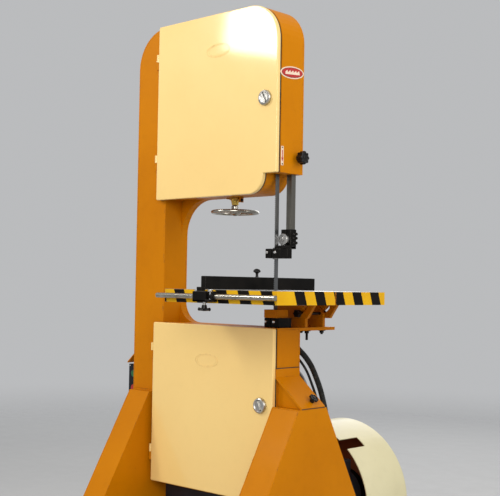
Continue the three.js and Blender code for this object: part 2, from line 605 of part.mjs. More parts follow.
function addTable() {
  const width = [TABLE_LEFT, TABLE_RIGHT];
  const length = [TABLE_FRONT, TABLE_BACK];
  const hollow = block([TABLE_LEFT + TABLE_WALL, TABLE_RIGHT - TABLE_WALL],
    [TABLE_FRONT + TABLE_WALL, TABLE_BACK - TABLE_WALL], [APRON_FOOT - 5, TABLE_TOP - TABLE_PLATE]);
  const rib = plateYZ([[269, 935], [303.5, 958], [303.5, 999], [269, 999]], [2, 10]);
  const plate = cut(join(cut(block(width, length, [APRON_FOOT, TABLE_TOP]), hollow), rib),
    rod('z', [BLADE_X, WHEEL_Y], INSERT_RADIUS + GAP, TABLE_TOP - INSERT_THICKNESS - GAP, TABLE_TOP + 5, 24),
    rod('z', [BLADE_X, WHEEL_Y], INSERT_RADIUS - 5, TABLE_TOP - 30, TABLE_TOP, 24),
    block([BLADE_X, TABLE_RIGHT + 5], [WHEEL_Y - 2, WHEEL_Y + 2], [APRON_FOOT - 5, TABLE_TOP + 5]));
  addPart(saw, 'table_top', plate, orange);
  const insert = cut(
    rod('z', [BLADE_X, WHEEL_Y], INSERT_RADIUS, TABLE_TOP - INSERT_THICKNESS, TABLE_TOP, 24),
    block([BLADE_X - 3, BLADE_X + 7], [WHEEL_Y - 13, WHEEL_Y + 15], [TABLE_TOP - 20, TABLE_TOP + 5]),
    block([BLADE_X, BLADE_X + 60], [WHEEL_Y - 2, WHEEL_Y + 2], [TABLE_TOP - 20, TABLE_TOP + 5]));
  addPart(saw, 'table_insert', insert, aluminium);
  const web = block([-130, -118], [ROCKERS[0][0] + 2, ROCKERS[1][1] - 2], [APRON_FOOT + 14, APRON_FOOT + 26]);
  addPart(saw, 'table_trunnion', join(web, ...ROCKERS.map(rockerPlate)), orange);

  const shelf = block([-140, 0], [BACK + GAP, 300], [BASE_TOP - 10, BASE_TOP]);
  const gusset = plateYZ([[BACK + GAP, BASE_TOP - 5], [250, BASE_TOP - 5], [BACK + GAP, 790]], [-138, -130]);
  addPart(saw, 'table_bracket', join(shelf, gusset, ...CHEEKS.map(cheekPlate)), orange);

  const grip = Array.from({ length: 6 }, (_, i) => rod('y', [9.5, 0], 3.5, 123, 137, 8).rotate([0, i * 60, 0]));
  const lock = join(rod('y', [0, 0], 5, 124, 265, 12), rod('y', [0, 0], 10.5, 123, 137),
    rod('y', [0, 0], 9, 264.3, 268, 6), ...grip);
  addPart(saw, 'tilt_lock', lock, black, [CLAMP_X, 0, CLAMP_Z]);
}

// ---------------------------------------------------------------- rip fence on its rail
const RAIL_Y = -214;
const RAIL_Z = 990;
const RAIL_RADIUS = 8;
const FENCE = [-116, -96];

function addFence() {
  const bracket = (x) => block([x, x + 16], [RAIL_Y, TABLE_FRONT - GAP], [RAIL_Z - 7, RAIL_Z + 7]);
  addPart(saw, 'fence_rail', join(rod('x', [RAIL_Y, RAIL_Z], RAIL_RADIUS, -296, MACHINE_RIGHT, 20),
    bracket(TABLE_LEFT), bracket(TABLE_RIGHT - 16)), chrome);
  addPart(saw, 'fence_bar', block(FENCE, [TABLE_FRONT, TABLE_BACK], [TABLE_TOP + 1, TABLE_TOP + 41]), black);
  const clamp = cut(
    join(block([-112, -42], [-238, TABLE_FRONT - 0.7], [974, 1006]),
      block(FENCE, [-216, TABLE_FRONT - GAP], [1000, TABLE_TOP + 8])),
    rod('x', [RAIL_Y, RAIL_Z], RAIL_RADIUS + GAP, -200, 0, 24));
  addPart(saw, 'fence_clamp', clamp, black);
  addPart(saw, 'fence_lock_knob', join(rod('z', [0, 0], 5, -14, -GAP, 16), block([-23, 23], [-5, 5], [-29, -17]),
    rod('z', [0, 0], 9, -19, -10)), black, [-77, -222, 974]);
  addPart(saw, 'fence_top_knob', spun([[0, GAP], [5, GAP], [5, 13], [11, 16], [12, 20], [10, 25], [0, 27]], 'z', 16),
    black, [-106, 36, TABLE_TOP + 41]);
}

// ---------------------------------------------------------------- motor, drive and drum guard
function pulley(radius, bore, width) {
  const profile = [[bore, 0], [radius, 0]];
  for (const centre of BELT_OFFSETS) {
    const near = centre - GROOVE_WIDTH / 2;
    const far = centre + GROOVE_WIDTH / 2;
    profile.push([radius, near], [radius - GROOVE_DEPTH, near], [radius - GROOVE_DEPTH, far], [radius, far]);
  }
  profile.push([radius, width], [bore, width], [bore, 0]);
  return spun(profile, 'y', 32);
}

function addDrive() {
  const motorAt = [DRUM_X, 0, DRUM_Z];
  const shell = spun([[0, MOTOR_FRONT], [70, MOTOR_FRONT], [86, MOTOR_FRONT + 14], [MOTOR_RADIUS, MOTOR_FRONT + 18],
    [MOTOR_RADIUS, MOTOR_BACK - 20], [80, MOTOR_BACK], [0, MOTOR_BACK]], 'y', 32);
  const feet = [-1, 1].map((side) => join(...[445, 545].map((y) => block(
    side < 0 ? [-88, -50] : [50, 88], [y, y + 40], [180 + GAP - DRUM_Z, -60]))));
  addPart(saw, 'motor_body', join(shell, ...feet), motorGrey, motorAt);
  const box = cut(block([34, 104], [450, 530], [50, 140]), rod('y', [0, 0], MOTOR_RADIUS + 2, 440, 540, 32));
  addPart(saw, 'terminal_box', box, motorGrey, motorAt);
  addPart(saw, 'motor_pulley', join(pulley(MOTOR_PULLEY_RADIUS, 13.5, PULLEY_WIDTH),
    rod('y', [0, 0], 14, -3, MOTOR_FRONT - GAP - PULLEY_FRONT)), castIron, [DRUM_X, PULLEY_FRONT, DRUM_Z]);

  const driven = pulley(DRIVEN_PULLEY_RADIUS, SHAFT_RADIUS + GAP, PULLEY_WIDTH);
  addPart(saw, 'driven_pulley', driven, castIron, [WHEEL_X, PULLEY_FRONT, LOWER_WHEEL_Z]);
  const slack = 1.2;
  BELT_OFFSETS.forEach((offset, i) => {
    const belt = loopBand(
      [[WHEEL_X, LOWER_WHEEL_Z], DRIVEN_PULLEY_RADIUS - GROOVE_DEPTH + slack],
      [[DRUM_X, DRUM_Z], MOTOR_PULLEY_RADIUS - GROOVE_DEPTH + slack], BELT_DEPTH,
      [PULLEY_FRONT + offset - BELT_WIDTH / 2, PULLEY_FRONT + offset + BELT_WIDTH / 2], 16);
    addPart(saw, ['front_belt', 'rear_belt'][i], belt, rubber);
  });

  const beam = cut(block([LEFT_LEG[1] + GAP, -GAP], [330, 380], [140, 200]),
    block([LEFT_LEG[1] - 10, 10], [336, 374], [130, 194]));
  const arms = [[-292, -272], [-136, -116]].map((x) => block(x, [374, DRUM_BACK - DRUM_SHEET - GAP], [160, 172]));
  const seat = block([-300, -108], [440, 600], [168, 180]);
  addPart(saw, 'motor_bracket', join(beam, seat, ...arms), orange);

  const wall = cut(
    rod('y', [0, 0], DRUM_RADIUS, DRUM_FRONT, DRUM_BACK, 56),
    rod('y', [0, 0], DRUM_RADIUS - DRUM_SHEET, DRUM_FRONT - 5, DRUM_BACK - DRUM_SHEET, 56),
    rod('y', [0, 0], 70, DRUM_BACK - 10, DRUM_BACK + 10, 24),
    block([DRUM_RADIUS - 20, DRUM_RADIUS + 20], [DRUM_FRONT - 5, DRUM_FRONT + 97], [-22, 22]).rotate([0, -53, 0]));
  addPart(saw, 'drum_guard', wall, guardCream, motorAt);
}

// ---------------------------------------------------------------- wiring and switch
const BOX_X = [-115, -50];
const CONDUIT_ROUTE = [[-49.7, 152, 833], [-41, 152, 833], [-26, 153, 822], [-4, 157, 802], [18, 161, 774],
  [38, 165, 734], [51, 169, 699], [60, 174, 660], [62, 184, 620], [56, 203, 575], [40, 228, 530],
  [12, 258, 490], [-24, 292, 456], [-62, 330, 430], [-94, 372, 412], [-115, 412, 402], [-118, 440, 400],
  [-118, 449.6, 400]];
const LEAD_ROUTE = [[-49.7, 148, 806], [-43, 148, 806], [-30, 149, 798], [-12, 152, 780], [6, 156, 754],
  [21, 160, 720], [33, 164, 688], [41, 169, 652], [43, 178, 612], [37, 196, 566], [22, 220, 520],
  [-4, 248, 480], [-36, 282, 442], [-70, 320, 410], [-98, 362, 388], [-111, 406, 376], [-113, 440, 372],
  [-113, 449.6, 372]];

function lead(route, radius, sides, steps) {
  const curve = new THREE.CatmullRomCurve3(route.map((point) => new THREE.Vector3(...point)));
  const section = new THREE.Shape(arc([0, 0], radius, 0, 360 - 360 / sides, sides - 1)
    .map(([a, b]) => new THREE.Vector2(a, b)));
  return solidOf(new THREE.ExtrudeGeometry(section, { steps, extrudePath: curve, bevelEnabled: false }));
}

function addWiring() {
  addPart(saw, 'junction_box', block(BOX_X, [BACK + GAP, 178], [785, 865]), black);
  addPart(saw, 'motor_conduit', lead(CONDUIT_ROUTE, 9.5, 8, 28), black);
  addPart(saw, 'motor_lead', lead(LEAD_ROUTE, 4, 8, 40), black);

  const side = COLUMN_LEFT - GAP;
  const hood = [[side, 795], [MACHINE_LEFT, 746], [MACHINE_LEFT, 742], [side, 791]];
  addPart(saw, 'switch_hood', plateXZ(hood, [38, 116]), orange);
  addPart(saw, 'switch_box', cut(block([-728, side], [44, 112], [612, 738]),
    rod('y', [-702, 705], 11.6, 40, 58, 24), rod('y', [-702, 655], 11.6, 40, 58, 24)), black);
  const button = () => join(rod('y', [0, 0], 11, -4, 8, 24), rod('y', [0, 0], 9, 6, 11, 24));
  addPart(saw, 'start_button', button(), green, [-702, 44, 705]);
  addPart(saw, 'stop_button', button(), red, [-702, 44, 655]);
}

addFrame();
addLegs();
addDoors();
addWheels();
addTension();
addGuides();
addTable();
addFence();
addDrive();
addWiring();

saw.position.set(-(MACHINE_LEFT + MACHINE_RIGHT) / 2, -(MACHINE_FRONT + DRUM_BACK) / 2, 0);

const machine = new THREE.Group();
machine.add(saw);
export default machine;
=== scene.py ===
"""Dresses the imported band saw: enamel, castings, chrome and the fine shape of each visible piece."""

import json
import math

import bmesh
import bpy
from mathutils import Matrix, Quaternion, Vector, noise


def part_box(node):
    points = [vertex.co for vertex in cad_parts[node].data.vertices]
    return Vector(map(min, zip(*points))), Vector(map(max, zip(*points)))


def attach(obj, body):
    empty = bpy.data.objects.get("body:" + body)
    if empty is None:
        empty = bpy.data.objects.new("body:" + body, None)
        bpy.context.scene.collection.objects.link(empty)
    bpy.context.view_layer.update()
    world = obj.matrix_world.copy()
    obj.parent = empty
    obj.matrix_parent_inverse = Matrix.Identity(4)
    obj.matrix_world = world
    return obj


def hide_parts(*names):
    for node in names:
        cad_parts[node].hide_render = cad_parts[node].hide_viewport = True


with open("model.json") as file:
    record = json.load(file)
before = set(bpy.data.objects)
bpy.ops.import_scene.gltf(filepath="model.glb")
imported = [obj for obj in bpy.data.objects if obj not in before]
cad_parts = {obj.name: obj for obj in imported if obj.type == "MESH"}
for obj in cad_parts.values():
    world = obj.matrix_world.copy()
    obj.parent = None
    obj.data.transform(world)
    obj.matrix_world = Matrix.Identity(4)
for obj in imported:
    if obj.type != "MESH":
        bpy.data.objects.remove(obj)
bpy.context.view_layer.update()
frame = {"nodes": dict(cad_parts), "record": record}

# Shapes are written in millimetres in the saw's own layout: X = 0 at the doors' free edge, Y = 0 at their
# outer face, Z = 0 on the floor. SAW is that layout's origin in the frame.
MM = 0.001
BACK_PLATE_REAR = 126
back_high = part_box("back_plate")[1]
SAW = Vector((back_high.x, back_high.y - BACK_PLATE_REAR * MM, 0.0))
TO_FRAME = Matrix.Translation(SAW) @ Matrix.Diagonal((MM, MM, MM, 1))


def span(node):
    """A CAD node's lowest and highest corner, in millimetres in the saw's layout."""
    low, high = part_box(node)
    return (low - SAW) / MM, (high - SAW) / MM


def middle(node):
    """The middle of a CAD node's box, in the same layout."""
    low, high = span(node)
    return (low + high) / 2


# ------------------------------------------------------------------ camera, light and floor

CAMERA_PLACE = (2078.1, -2322.7, 1025.7)
CAMERA_YAW, CAMERA_PITCH, CAMERA_ROLL = (math.radians(a) for a in (43.217, 2.088, -0.969))
SENSOR = 36.0
FIELD = 0.49184                    # sensor width over lens length


def camera():
    forward = Vector((-math.sin(CAMERA_YAW) * math.cos(CAMERA_PITCH),
                      math.cos(CAMERA_YAW) * math.cos(CAMERA_PITCH), math.sin(CAMERA_PITCH)))
    level = Vector((math.cos(CAMERA_YAW), math.sin(CAMERA_YAW), 0))
    rise = level.cross(forward)
    right = math.cos(CAMERA_ROLL) * level - math.sin(CAMERA_ROLL) * rise
    up = math.sin(CAMERA_ROLL) * level + math.cos(CAMERA_ROLL) * rise
    turn = Matrix((right, up, -forward)).transposed().to_4x4()
    made = bpy.data.objects.new("camera", bpy.data.cameras.new("camera"))
    made.data.sensor_width = SENSOR
    made.data.lens = SENSOR / FIELD
    made.matrix_world = Matrix.Translation(TO_FRAME @ Vector(CAMERA_PLACE)) @ turn
    bpy.context.scene.collection.objects.link(made)
    bpy.context.scene.camera = made


def softbox(name, place, width, height, watts, tint=(1, 1, 1), roll=0.0):
    """A rectangular light that faces the middle of the saw, rolled about the way it faces."""
    light = bpy.data.lights.new(name, "AREA")
    light.shape = "RECTANGLE"
    light.size = width
    light.size_y = height
    light.energy = watts
    light.color = tint
    made = bpy.data.objects.new(name, light)
    made.location = place
    made.rotation_mode = "QUATERNION"
    facing = (Vector(place) - Vector((0, 0, 1.0))).to_track_quat("Z", "Y")
    made.rotation_quaternion = facing @ Quaternion((0, 0, 1), math.radians(roll))
    bpy.context.scene.collection.objects.link(made)


WARM = (1.0, 0.98, 0.95)
# Each light's place and size are in metres, its power in watts, and its roll in degrees.
LIGHTS = {
    "key": ((-1.56, -2.13, 2.80), 0.5, 0.95, 36, (1.0, 0.97, 0.92), -9),
    "front": ((2.6, -3.4, 2.4), 2.2, 2.2, 96, WARM),
    "side": ((3.6, 0.4, 2.4), 1.8, 2.4, 48, WARM),
    "top": ((0.3, 0.2, 4.6), 3.5, 3.5, 45),
    "rear": ((-1.5, 4.0, 2.4), 3.0, 2.4, 45),
}
SKY = (0.75, 0.76, 0.775, 1)
SKY_STRENGTH = 0.66
FLOOR_HALF = 9.0
FADE_START, FADE_END = 1.6, 7.5    # the floor thins out into the backdrop between these distances


def studio():
    for name, settings in LIGHTS.items():
        softbox(name, *settings)
    world = bpy.data.worlds.new("studio")
    world.use_nodes = True
    world.node_tree.nodes["Background"].inputs["Color"].default_value = SKY
    world.node_tree.nodes["Background"].inputs["Strength"].default_value = SKY_STRENGTH
    bpy.context.scene.world = world

    mesh = bpy.data.meshes.new("floor")
    corners = [(x * FLOOR_HALF, y * FLOOR_HALF, 0) for x, y in ((-1, -1), (1, -1), (1, 1), (-1, 1))]
    mesh.from_pydata(corners, [], [(0, 1, 2, 3)])
    floor = bpy.data.objects.new("floor", mesh)
    bpy.context.scene.collection.objects.link(floor)
    g = Graph("floor")
    tone = g.mix(g.noise(1.2, 4), (0.43, 0.43, 0.43), (0.47, 0.47, 0.465))
    away = g.node("ShaderNodeVectorMath", {0: g.place}, operation="LENGTH").outputs["Value"]
    g.feed(g.shader.inputs["Alpha"], g.node("ShaderNodeMapRange", {
        "Value": away, "From Min": FADE_START, "From Max": FADE_END, "To Min": 1.0, "To Max": 0.0},
        interpolation_type="SMOOTHSTEP").outputs[0])
    g.paint(tone, g.span(g.noise(9, 5), 0.5, 0.7), g.bump(g.noise(40, 6), 0.05, 0.002))
    mesh.materials.append(g.material)


# ------------------------------------------------------------------ materials

class Graph:
    """One material's nodes, with short names for those that the finishes are built from."""

    def __init__(self, name):
        self.material = bpy.data.materials.new(name)
        self.material.use_nodes = True
        self.tree = self.material.node_tree
        self.shader = self.tree.nodes["Principled BSDF"]
        self.place = self.node("ShaderNodeTexCoord").outputs["Object"]

    def node(self, kind, inputs=None, **settings):
        made = self.tree.nodes.new(kind)
        for key, value in settings.items():
            setattr(made, key, value)
        for key, value in (inputs or {}).items():
            self.feed(made.inputs[key], value)
        return made

    def feed(self, socket, value):
        if isinstance(value, bpy.types.NodeSocket):
            self.tree.links.new(value, socket)
        elif isinstance(value, tuple) and socket.type == "RGBA":
            socket.default_value = (*value, 1)
        else:
            socket.default_value = value

    def noise(self, scale, detail=3, stretch=(1, 1, 1), rough=0.55):
        place = self.node("ShaderNodeMapping", {"Vector": self.place, "Scale": stretch}).outputs[0]
        return self.node("ShaderNodeTexNoise", {
            "Vector": place, "Scale": scale, "Detail": detail, "Roughness": rough}).outputs["Fac"]

    def cells(self, scale, feature="F1"):
        return self.node("ShaderNodeTexVoronoi", {"Vector": self.place, "Scale": scale},
                         feature=feature).outputs["Distance"]

    def span(self, value, low, high, start=0.3, end=0.7):
        return self.node("ShaderNodeMapRange", {
            "Value": value, "From Min": start, "From Max": end, "To Min": low, "To Max": high}).outputs[0]

    def maths(self, operation, a, b=0.0):
        return self.node("ShaderNodeMath", {0: a, 1: b}, operation=operation).outputs[0]

    def times(self, a, b):
        return self.maths("MULTIPLY", a, b)

    def plus(self, a, b):
        return self.maths("ADD", a, b)

    def minus(self, a, b):
        return self.maths("SUBTRACT", a, b)

    def mix(self, factor, a, b):
        return self.node("ShaderNodeMix", {0: factor, 6: a, 7: b}, data_type="RGBA").outputs[2]

    def axis(self, index):
        return self.node("ShaderNodeSeparateXYZ", {0: self.place}).outputs[index]

    def facing(self, index):
        normal = self.node("ShaderNodeNewGeometry").outputs["Normal"]
        turned = self.node("ShaderNodeVectorTransform", {0: normal}, vector_type="NORMAL",
                           convert_from="WORLD", convert_to="OBJECT").outputs[0]
        return self.node("ShaderNodeSeparateXYZ", {0: turned}).outputs[index]

    def edges(self, radius):
        """1 on the edges that hands and work rub, 0 on flat faces."""
        soft = self.node("ShaderNodeBevel", {"Radius": radius}, samples=4).outputs[0]
        sharp = self.node("ShaderNodeNewGeometry").outputs["Normal"]
        same = self.node("ShaderNodeVectorMath", {0: soft, 1: sharp}, operation="DOT_PRODUCT")
        return self.span(same.outputs["Value"], 1.0, 0.0, 0.86, 0.995)

    def bump(self, height, strength, distance=0.001):
        return self.node("ShaderNodeBump", {
            "Height": height, "Strength": strength, "Distance": distance}).outputs[0]

    def paint(self, colour, roughness, normal=None, **fixed):
        self.feed(self.shader.inputs["Base Color"], colour)
        self.feed(self.shader.inputs["Roughness"], roughness)
        if normal is not None:
            self.feed(self.shader.inputs["Normal"], normal)
        for key, value in fixed.items():
            self.feed(self.shader.inputs[key.replace("_", " ")], value)
        return self.material


def enamel(name, colour, shade, gloss, chip=(0.09, 0.05, 0.03), wear=1.0, coat=0.35, shine=0.5,
           coat_rough=0.14):
    """Sprayed enamel on sheet steel: slow tone changes, orange peel, rubbed edges and specks."""
    g = Graph(name)
    tone = g.mix(g.span(g.noise(2.4, 5), 0, 1, 0.35, 0.68), colour, shade)
    dust = g.span(g.noise(30, 7), 0, 0.12 * wear, 0.52, 0.8)
    tone = g.mix(dust, tone, tuple(c * 0.55 for c in shade))
    worn = g.times(g.edges(0.0022), g.span(g.noise(42, 6), 0, wear, 0.5, 0.66))
    speck = g.span(g.cells(46), wear * 0.8, 0, 0.03, 0.05)
    bare = g.maths("MAXIMUM", worn, g.times(speck, g.span(g.noise(6, 2), 0, 1, 0.58, 0.66)))
    tone = g.mix(bare, tone, chip)
    peel = g.plus(g.times(g.noise(420, 2), 0.5), g.times(g.noise(16, 3), 1.4))
    rub = g.span(g.noise(7, 5), gloss - 0.05, gloss + 0.1)
    rough = g.plus(rub, g.times(bare, 0.35))
    height = g.minus(peel, g.times(bare, 1.2))
    g.feed(g.shader.inputs["Specular IOR Level"], shine)
    return g.paint(tone, rough, g.bump(height, 0.12, 0.0006), Coat_Weight=coat, Coat_Roughness=coat_rough)


def metal(name, colour, dark, rough, streak=(1, 1, 30), grain=70, depth=0.08, stain=0.5):
    """Bare metal with the marks of its finishing, drawn out along one direction, and handling stains."""
    g = Graph(name)
    lines = g.noise(grain, 4, streak)
    marks = g.span(g.noise(7, 6), 0, stain, 0.5, 0.78)
    tone = g.mix(g.span(lines, 0, 0.5), colour, dark)
    tone = g.mix(marks, tone, tuple(c * 0.45 for c in dark))
    roughness = g.plus(g.span(lines, rough * 0.75, rough * 1.3), g.times(marks, 0.25))
    return g.paint(tone, roughness, g.bump(lines, depth, 0.0003), Metallic=1.0)


def casting(name, colour, pale, rough, coat=0.0, scale=160, shine=0.5):
    """Painted casting: fine pebbled skin, edges rubbed pale, dust in patches."""
    g = Graph(name)
    pebble = g.plus(g.noise(scale, 5), g.times(g.cells(scale * 1.6), 0.5))
    tone = g.mix(g.span(g.noise(11, 6), 0, 0.7, 0.42, 0.75), colour, pale)
    rubbed = g.times(g.edges(0.0018), g.span(g.noise(60, 4), 0.1, 1, 0.4, 0.62))
    tone = g.mix(rubbed, tone, tuple(min(1, c * 3 + 0.05) for c in pale))
    roughness = g.span(g.noise(22, 5), rough - 0.08, rough + 0.14)
    g.feed(g.shader.inputs["Specular IOR Level"], shine)
    return g.paint(tone, roughness, g.bump(pebble, 0.22, 0.0005), Coat_Weight=coat)


def rubber(name, colour):
    g = Graph(name)
    tone = g.mix(g.span(g.noise(18, 6), 0, 1), colour, tuple(c * 2.6 + 0.004 for c in colour))
    tone = g.mix(g.span(g.noise(75, 6), 0, 0.25, 0.55, 0.8), tone, (0.16, 0.12, 0.08))
    height = g.noise(260, 4)
    g.feed(g.shader.inputs["Specular IOR Level"], 0.25)
    return g.paint(tone, g.span(g.noise(30, 5), 0.5, 0.8), g.bump(height, 0.25, 0.0005))


ORANGE = (0.56, 0.190, 0.0004)
ORANGE_SHADE = (0.49, 0.158, 0.0004)
TABLE_DEPTH = 40
BAR_PITCH = 90
BAR_SHARE = 0.5                    # of the pitch that is black
BAR_SLANT = 0.34                   # sideways run for each unit of depth
FRONT_BAR_START = 310.5            # from the table's left edge
SIDE_BAR_START = 72.5              # from the table's front edge
FRONT_BARS_FROM, SIDE_BARS_FROM = -9.0, -0.1    # the first bar painted, counted in pitches


def hazard(name):
    """The table: ground top, painted body, and slanting yellow and black bars round its edge."""
    g = Graph(name)
    x, y, z = (g.axis(i) for i in range(3))
    low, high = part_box("table_top")
    drop = g.minus(high.z, z)
    lean = g.times(drop, BAR_SLANT)
    sides = []
    for along, start, first in ((x, low.x + FRONT_BAR_START * MM, FRONT_BARS_FROM),
                                (y, low.y + SIDE_BAR_START * MM, SIDE_BARS_FROM)):
        walked = g.minus(g.minus(along, start), lean)
        turns = g.maths("DIVIDE", walked, BAR_PITCH * MM)
        wave = g.maths("ABSOLUTE", g.minus(g.maths("FRACT", turns), BAR_SHARE / 2))
        ragged = g.plus(wave, g.span(g.noise(220, 3), -0.012, 0.012))
        bar = g.span(ragged, 1, 0, BAR_SHARE / 2 - 0.008, BAR_SHARE / 2 + 0.008)
        sides.append(g.times(bar, g.maths("GREATER_THAN", turns, first)))
    across = g.span(g.maths("ABSOLUTE", g.facing(0)), 0, 1, 0.49, 0.51)
    bar = g.node("ShaderNodeMix", {0: across, 2: sides[0], 3: sides[1]}).outputs[0]
    yellow = g.mix(g.span(g.noise(14, 5), 0, 1, 0.3, 0.75), (0.74, 0.42, 0.008), (0.66, 0.34, 0.006))
    black = g.mix(g.noise(30, 4), (0.002, 0.0014, 0.0008), (0.008, 0.005, 0.003))
    taped = g.mix(bar, yellow, black)
    orange = g.mix(g.span(g.noise(3, 5), 0, 1), ORANGE, ORANGE_SHADE)

    ground = g.noise(260, 3, (0.03, 1, 1))
    steel = g.mix(g.span(g.noise(5, 7), 0, 0.8), (0.56, 0.54, 0.5), (0.36, 0.33, 0.29))
    steel = g.mix(g.span(ground, 0, 0.4), steel, (0.24, 0.23, 0.22))
    top = g.span(z, 0, 1, high.z - 0.0006, high.z - 0.0002)
    walls = [g.span(v, 0, 1, at - 0.0004, at - 0.0002) for v, at in ((x, high.x), (y, high.y))]
    walls += [g.span(v, 1, 0, at + 0.0002, at + 0.0004) for v, at in ((x, low.x), (y, low.y))]
    outer = walls[0]
    for wall in walls[1:]:
        outer = g.maths("MAXIMUM", outer, wall)
    apron = g.span(drop, 1, 0, TABLE_DEPTH * MM + 0.001, TABLE_DEPTH * MM + 0.002)
    outer = g.times(outer, apron)
    tone = g.mix(outer, orange, taped)
    worn = g.times(g.edges(0.002), g.span(g.noise(50, 5), 0, 1, 0.46, 0.6))
    tone = g.mix(worn, tone, (0.3, 0.27, 0.22))
    tone = g.mix(top, tone, steel)
    rough = g.node("ShaderNodeMix", {0: top, 2: g.span(g.noise(12, 5), 0.34, 0.5), 3: 0.3}).outputs[0]
    g.feed(g.shader.inputs["Specular IOR Level"], 0.1)
    g.feed(g.shader.inputs["Metallic"], g.maths("MAXIMUM", top, g.times(worn, 0.7)))
    return g.paint(tone, rough, g.bump(g.plus(ground, g.noise(300, 2)), 0.07, 0.0003))


def finishes():
    return {
        "frame_paint": enamel("orange_enamel", ORANGE, ORANGE_SHADE, 0.42, coat=0.02, shine=0.06),
        "door_paint": enamel("cream_enamel", (0.88, 0.62, 0.225), (0.85, 0.585, 0.205), 0.44,
                             (0.25, 0.13, 0.04), 0.4, 0.75, 0.3, 0.08),
        "guard_paint": enamel("guard_enamel", (0.70, 0.64, 0.40), (0.62, 0.56, 0.33), 0.42,
                              (0.12, 0.07, 0.04), 0.8, 0.2),
        "primer": enamel("drum_primer", (0.34, 0.085, 0.03), (0.24, 0.06, 0.022), 0.6,
                         (0.02, 0.015, 0.01), 0.5, 0.0),
        "black_iron": casting("black_iron", (0.004, 0.0035, 0.003), (0.012, 0.010, 0.008), 0.4, 0.01,
                              shine=0.08),
        "black_sheet": casting("black_sheet", (0.006, 0.007, 0.010), (0.012, 0.014, 0.018), 0.4, 0.04,
                               320, 0.2),
        "black_plastic": casting("black_plastic", (0.003, 0.003, 0.003), (0.008, 0.007, 0.007), 0.3, 0.05,
                                 420, 0.22),
        "raw_iron": casting("raw_iron", (0.15, 0.155, 0.16), (0.24, 0.24, 0.235), 0.5, 0.0, 120),
        "motor_paint": casting("motor_enamel", (0.05, 0.062, 0.08), (0.08, 0.095, 0.115), 0.42, 0.2, 240),
        "bright_steel": metal("bright_steel", (0.52, 0.51, 0.49), (0.26, 0.25, 0.235), 0.3,
                              (1, 1, 0.02), 190),
        "bright_chrome": metal("chrome", (0.74, 0.73, 0.71), (0.48, 0.47, 0.45), 0.12, (1, 1, 1),
                               60, 0.02, 0.3),
        "satin_chrome": metal("satin_chrome", (0.55, 0.54, 0.51), (0.30, 0.29, 0.27), 0.32, (1, 1, 1),
                              80, 0.03, 0.25),
        "aged_chrome": metal("aged_chrome", (0.46, 0.44, 0.39), (0.16, 0.14, 0.11), 0.2, (1, 1, 1),
                             50, 0.03, 0.5),
        "dark_steel": metal("dark_steel", (0.20, 0.19, 0.165), (0.07, 0.066, 0.055), 0.36, (1, 1, 0.02), 190),
        "blade_steel": metal("blade_steel", (0.19, 0.195, 0.2), (0.08, 0.08, 0.085), 0.34, (1, 1, 0.02), 220),
        "brass": metal("brass", (0.74, 0.5, 0.12), (0.5, 0.3, 0.05), 0.24, (1, 1, 8), 120, 0.06, 0.4),
        "insert_metal": metal("turned_aluminium", (0.7, 0.7, 0.69), (0.45, 0.45, 0.45), 0.32, (1, 1, 6), 220),
        "rubber": rubber("tyre_rubber", (0.016, 0.015, 0.014)),
        "cable_sheath": rubber("cable_sheath", (0.004, 0.005, 0.0045)),
        "green_plastic": casting("green_button", (0.006, 0.09, 0.02), (0.012, 0.13, 0.035), 0.3, 0.2, 500),
        "red_plastic": casting("red_button", (0.36, 0.012, 0.007), (0.45, 0.025, 0.012), 0.3, 0.2, 500),
        "badge_red": enamel("badge_red", (0.46, 0.012, 0.008), (0.36, 0.01, 0.006), 0.22,
                            (0.3, 0.2, 0.1), 0.3, 0.6),
        "badge_dark": enamel("badge_dark", (0.20, 0.006, 0.004), (0.15, 0.005, 0.003), 0.25,
                             (0.3, 0.2, 0.1), 0.3, 0.5),
        "badge_pale": enamel("badge_pale", (0.84, 0.66, 0.5), (0.76, 0.58, 0.42), 0.3,
                             (0.3, 0.2, 0.1), 0.3, 0.4),
        "table": hazard("striped_table"),
    }


# ------------------------------------------------------------------ outlines and solids, in millimetres

def angles(count):
    return [2 * math.pi * k / count for k in range(count)]


def ellipse(along, up, sides, centre=(0, 0)):
    return [Vector((centre[0] + along * math.cos(a), centre[1] + up * math.sin(a))) for a in angles(sides)]


def circle(radius, sides=12, centre=(0, 0)):
    return ellipse(radius, radius, sides, centre)


def fillet(corners, steps=8):
    """An outline of (a, b, radius) corners, each rounded with an arc."""
    points = []
    count = len(corners)
    for i, (a, b, radius) in enumerate(corners):
        here = Vector((a, b))
        before = Vector(corners[i - 1][:2]) - here
        after = Vector(corners[(i + 1) % count][:2]) - here
        angle = before.angle(after)
        if radius <= 0 or angle > math.pi - 1e-3:
            points.append(here)
            continue
        back = radius / math.tan(angle / 2)
        start = here + before.normalized() * back
        end = here + after.normalized() * back
        centre = here + (before.normalized() + after.normalized()).normalized() * radius / math.sin(angle / 2)
        first = start - centre
        turn = first.angle_signed(end - centre)
        for k in range(steps + 1):
            at = -turn * k / steps
            points.append(centre + Matrix.Rotation(at, 2) @ first)
    return points


def inset(points, distance):
    """A closed outline moved inwards."""
    area = sum(p.x * q.y - q.x * p.y for p, q in zip(points, points[1:] + points[:1]))
    side = math.copysign(1, area)
    moved = []
    for i, here in enumerate(points):
        before = (here - points[i - 1]).normalized()
        after = (points[(i + 1) % len(points)] - here).normalized()
        normals = [side * Vector((-d.y, d.x)) for d in (before, after)]
        both = normals[0] + normals[1]
        moved.append(here + both * distance / (1 + normals[0].dot(normals[1])))
    return moved


AXES = {"x": (1, 2, 0), "y": (0, 2, 1), "z": (0, 1, 2)}


def lift(point, axis, height):
    """A point of an outline, at a height along the axis that the outline stands across."""
    a, b, along = AXES[axis]
    made = [0.0, 0.0, 0.0]
    made[a], made[b], made[along] = point[0], point[1], height
    return Vector(made)


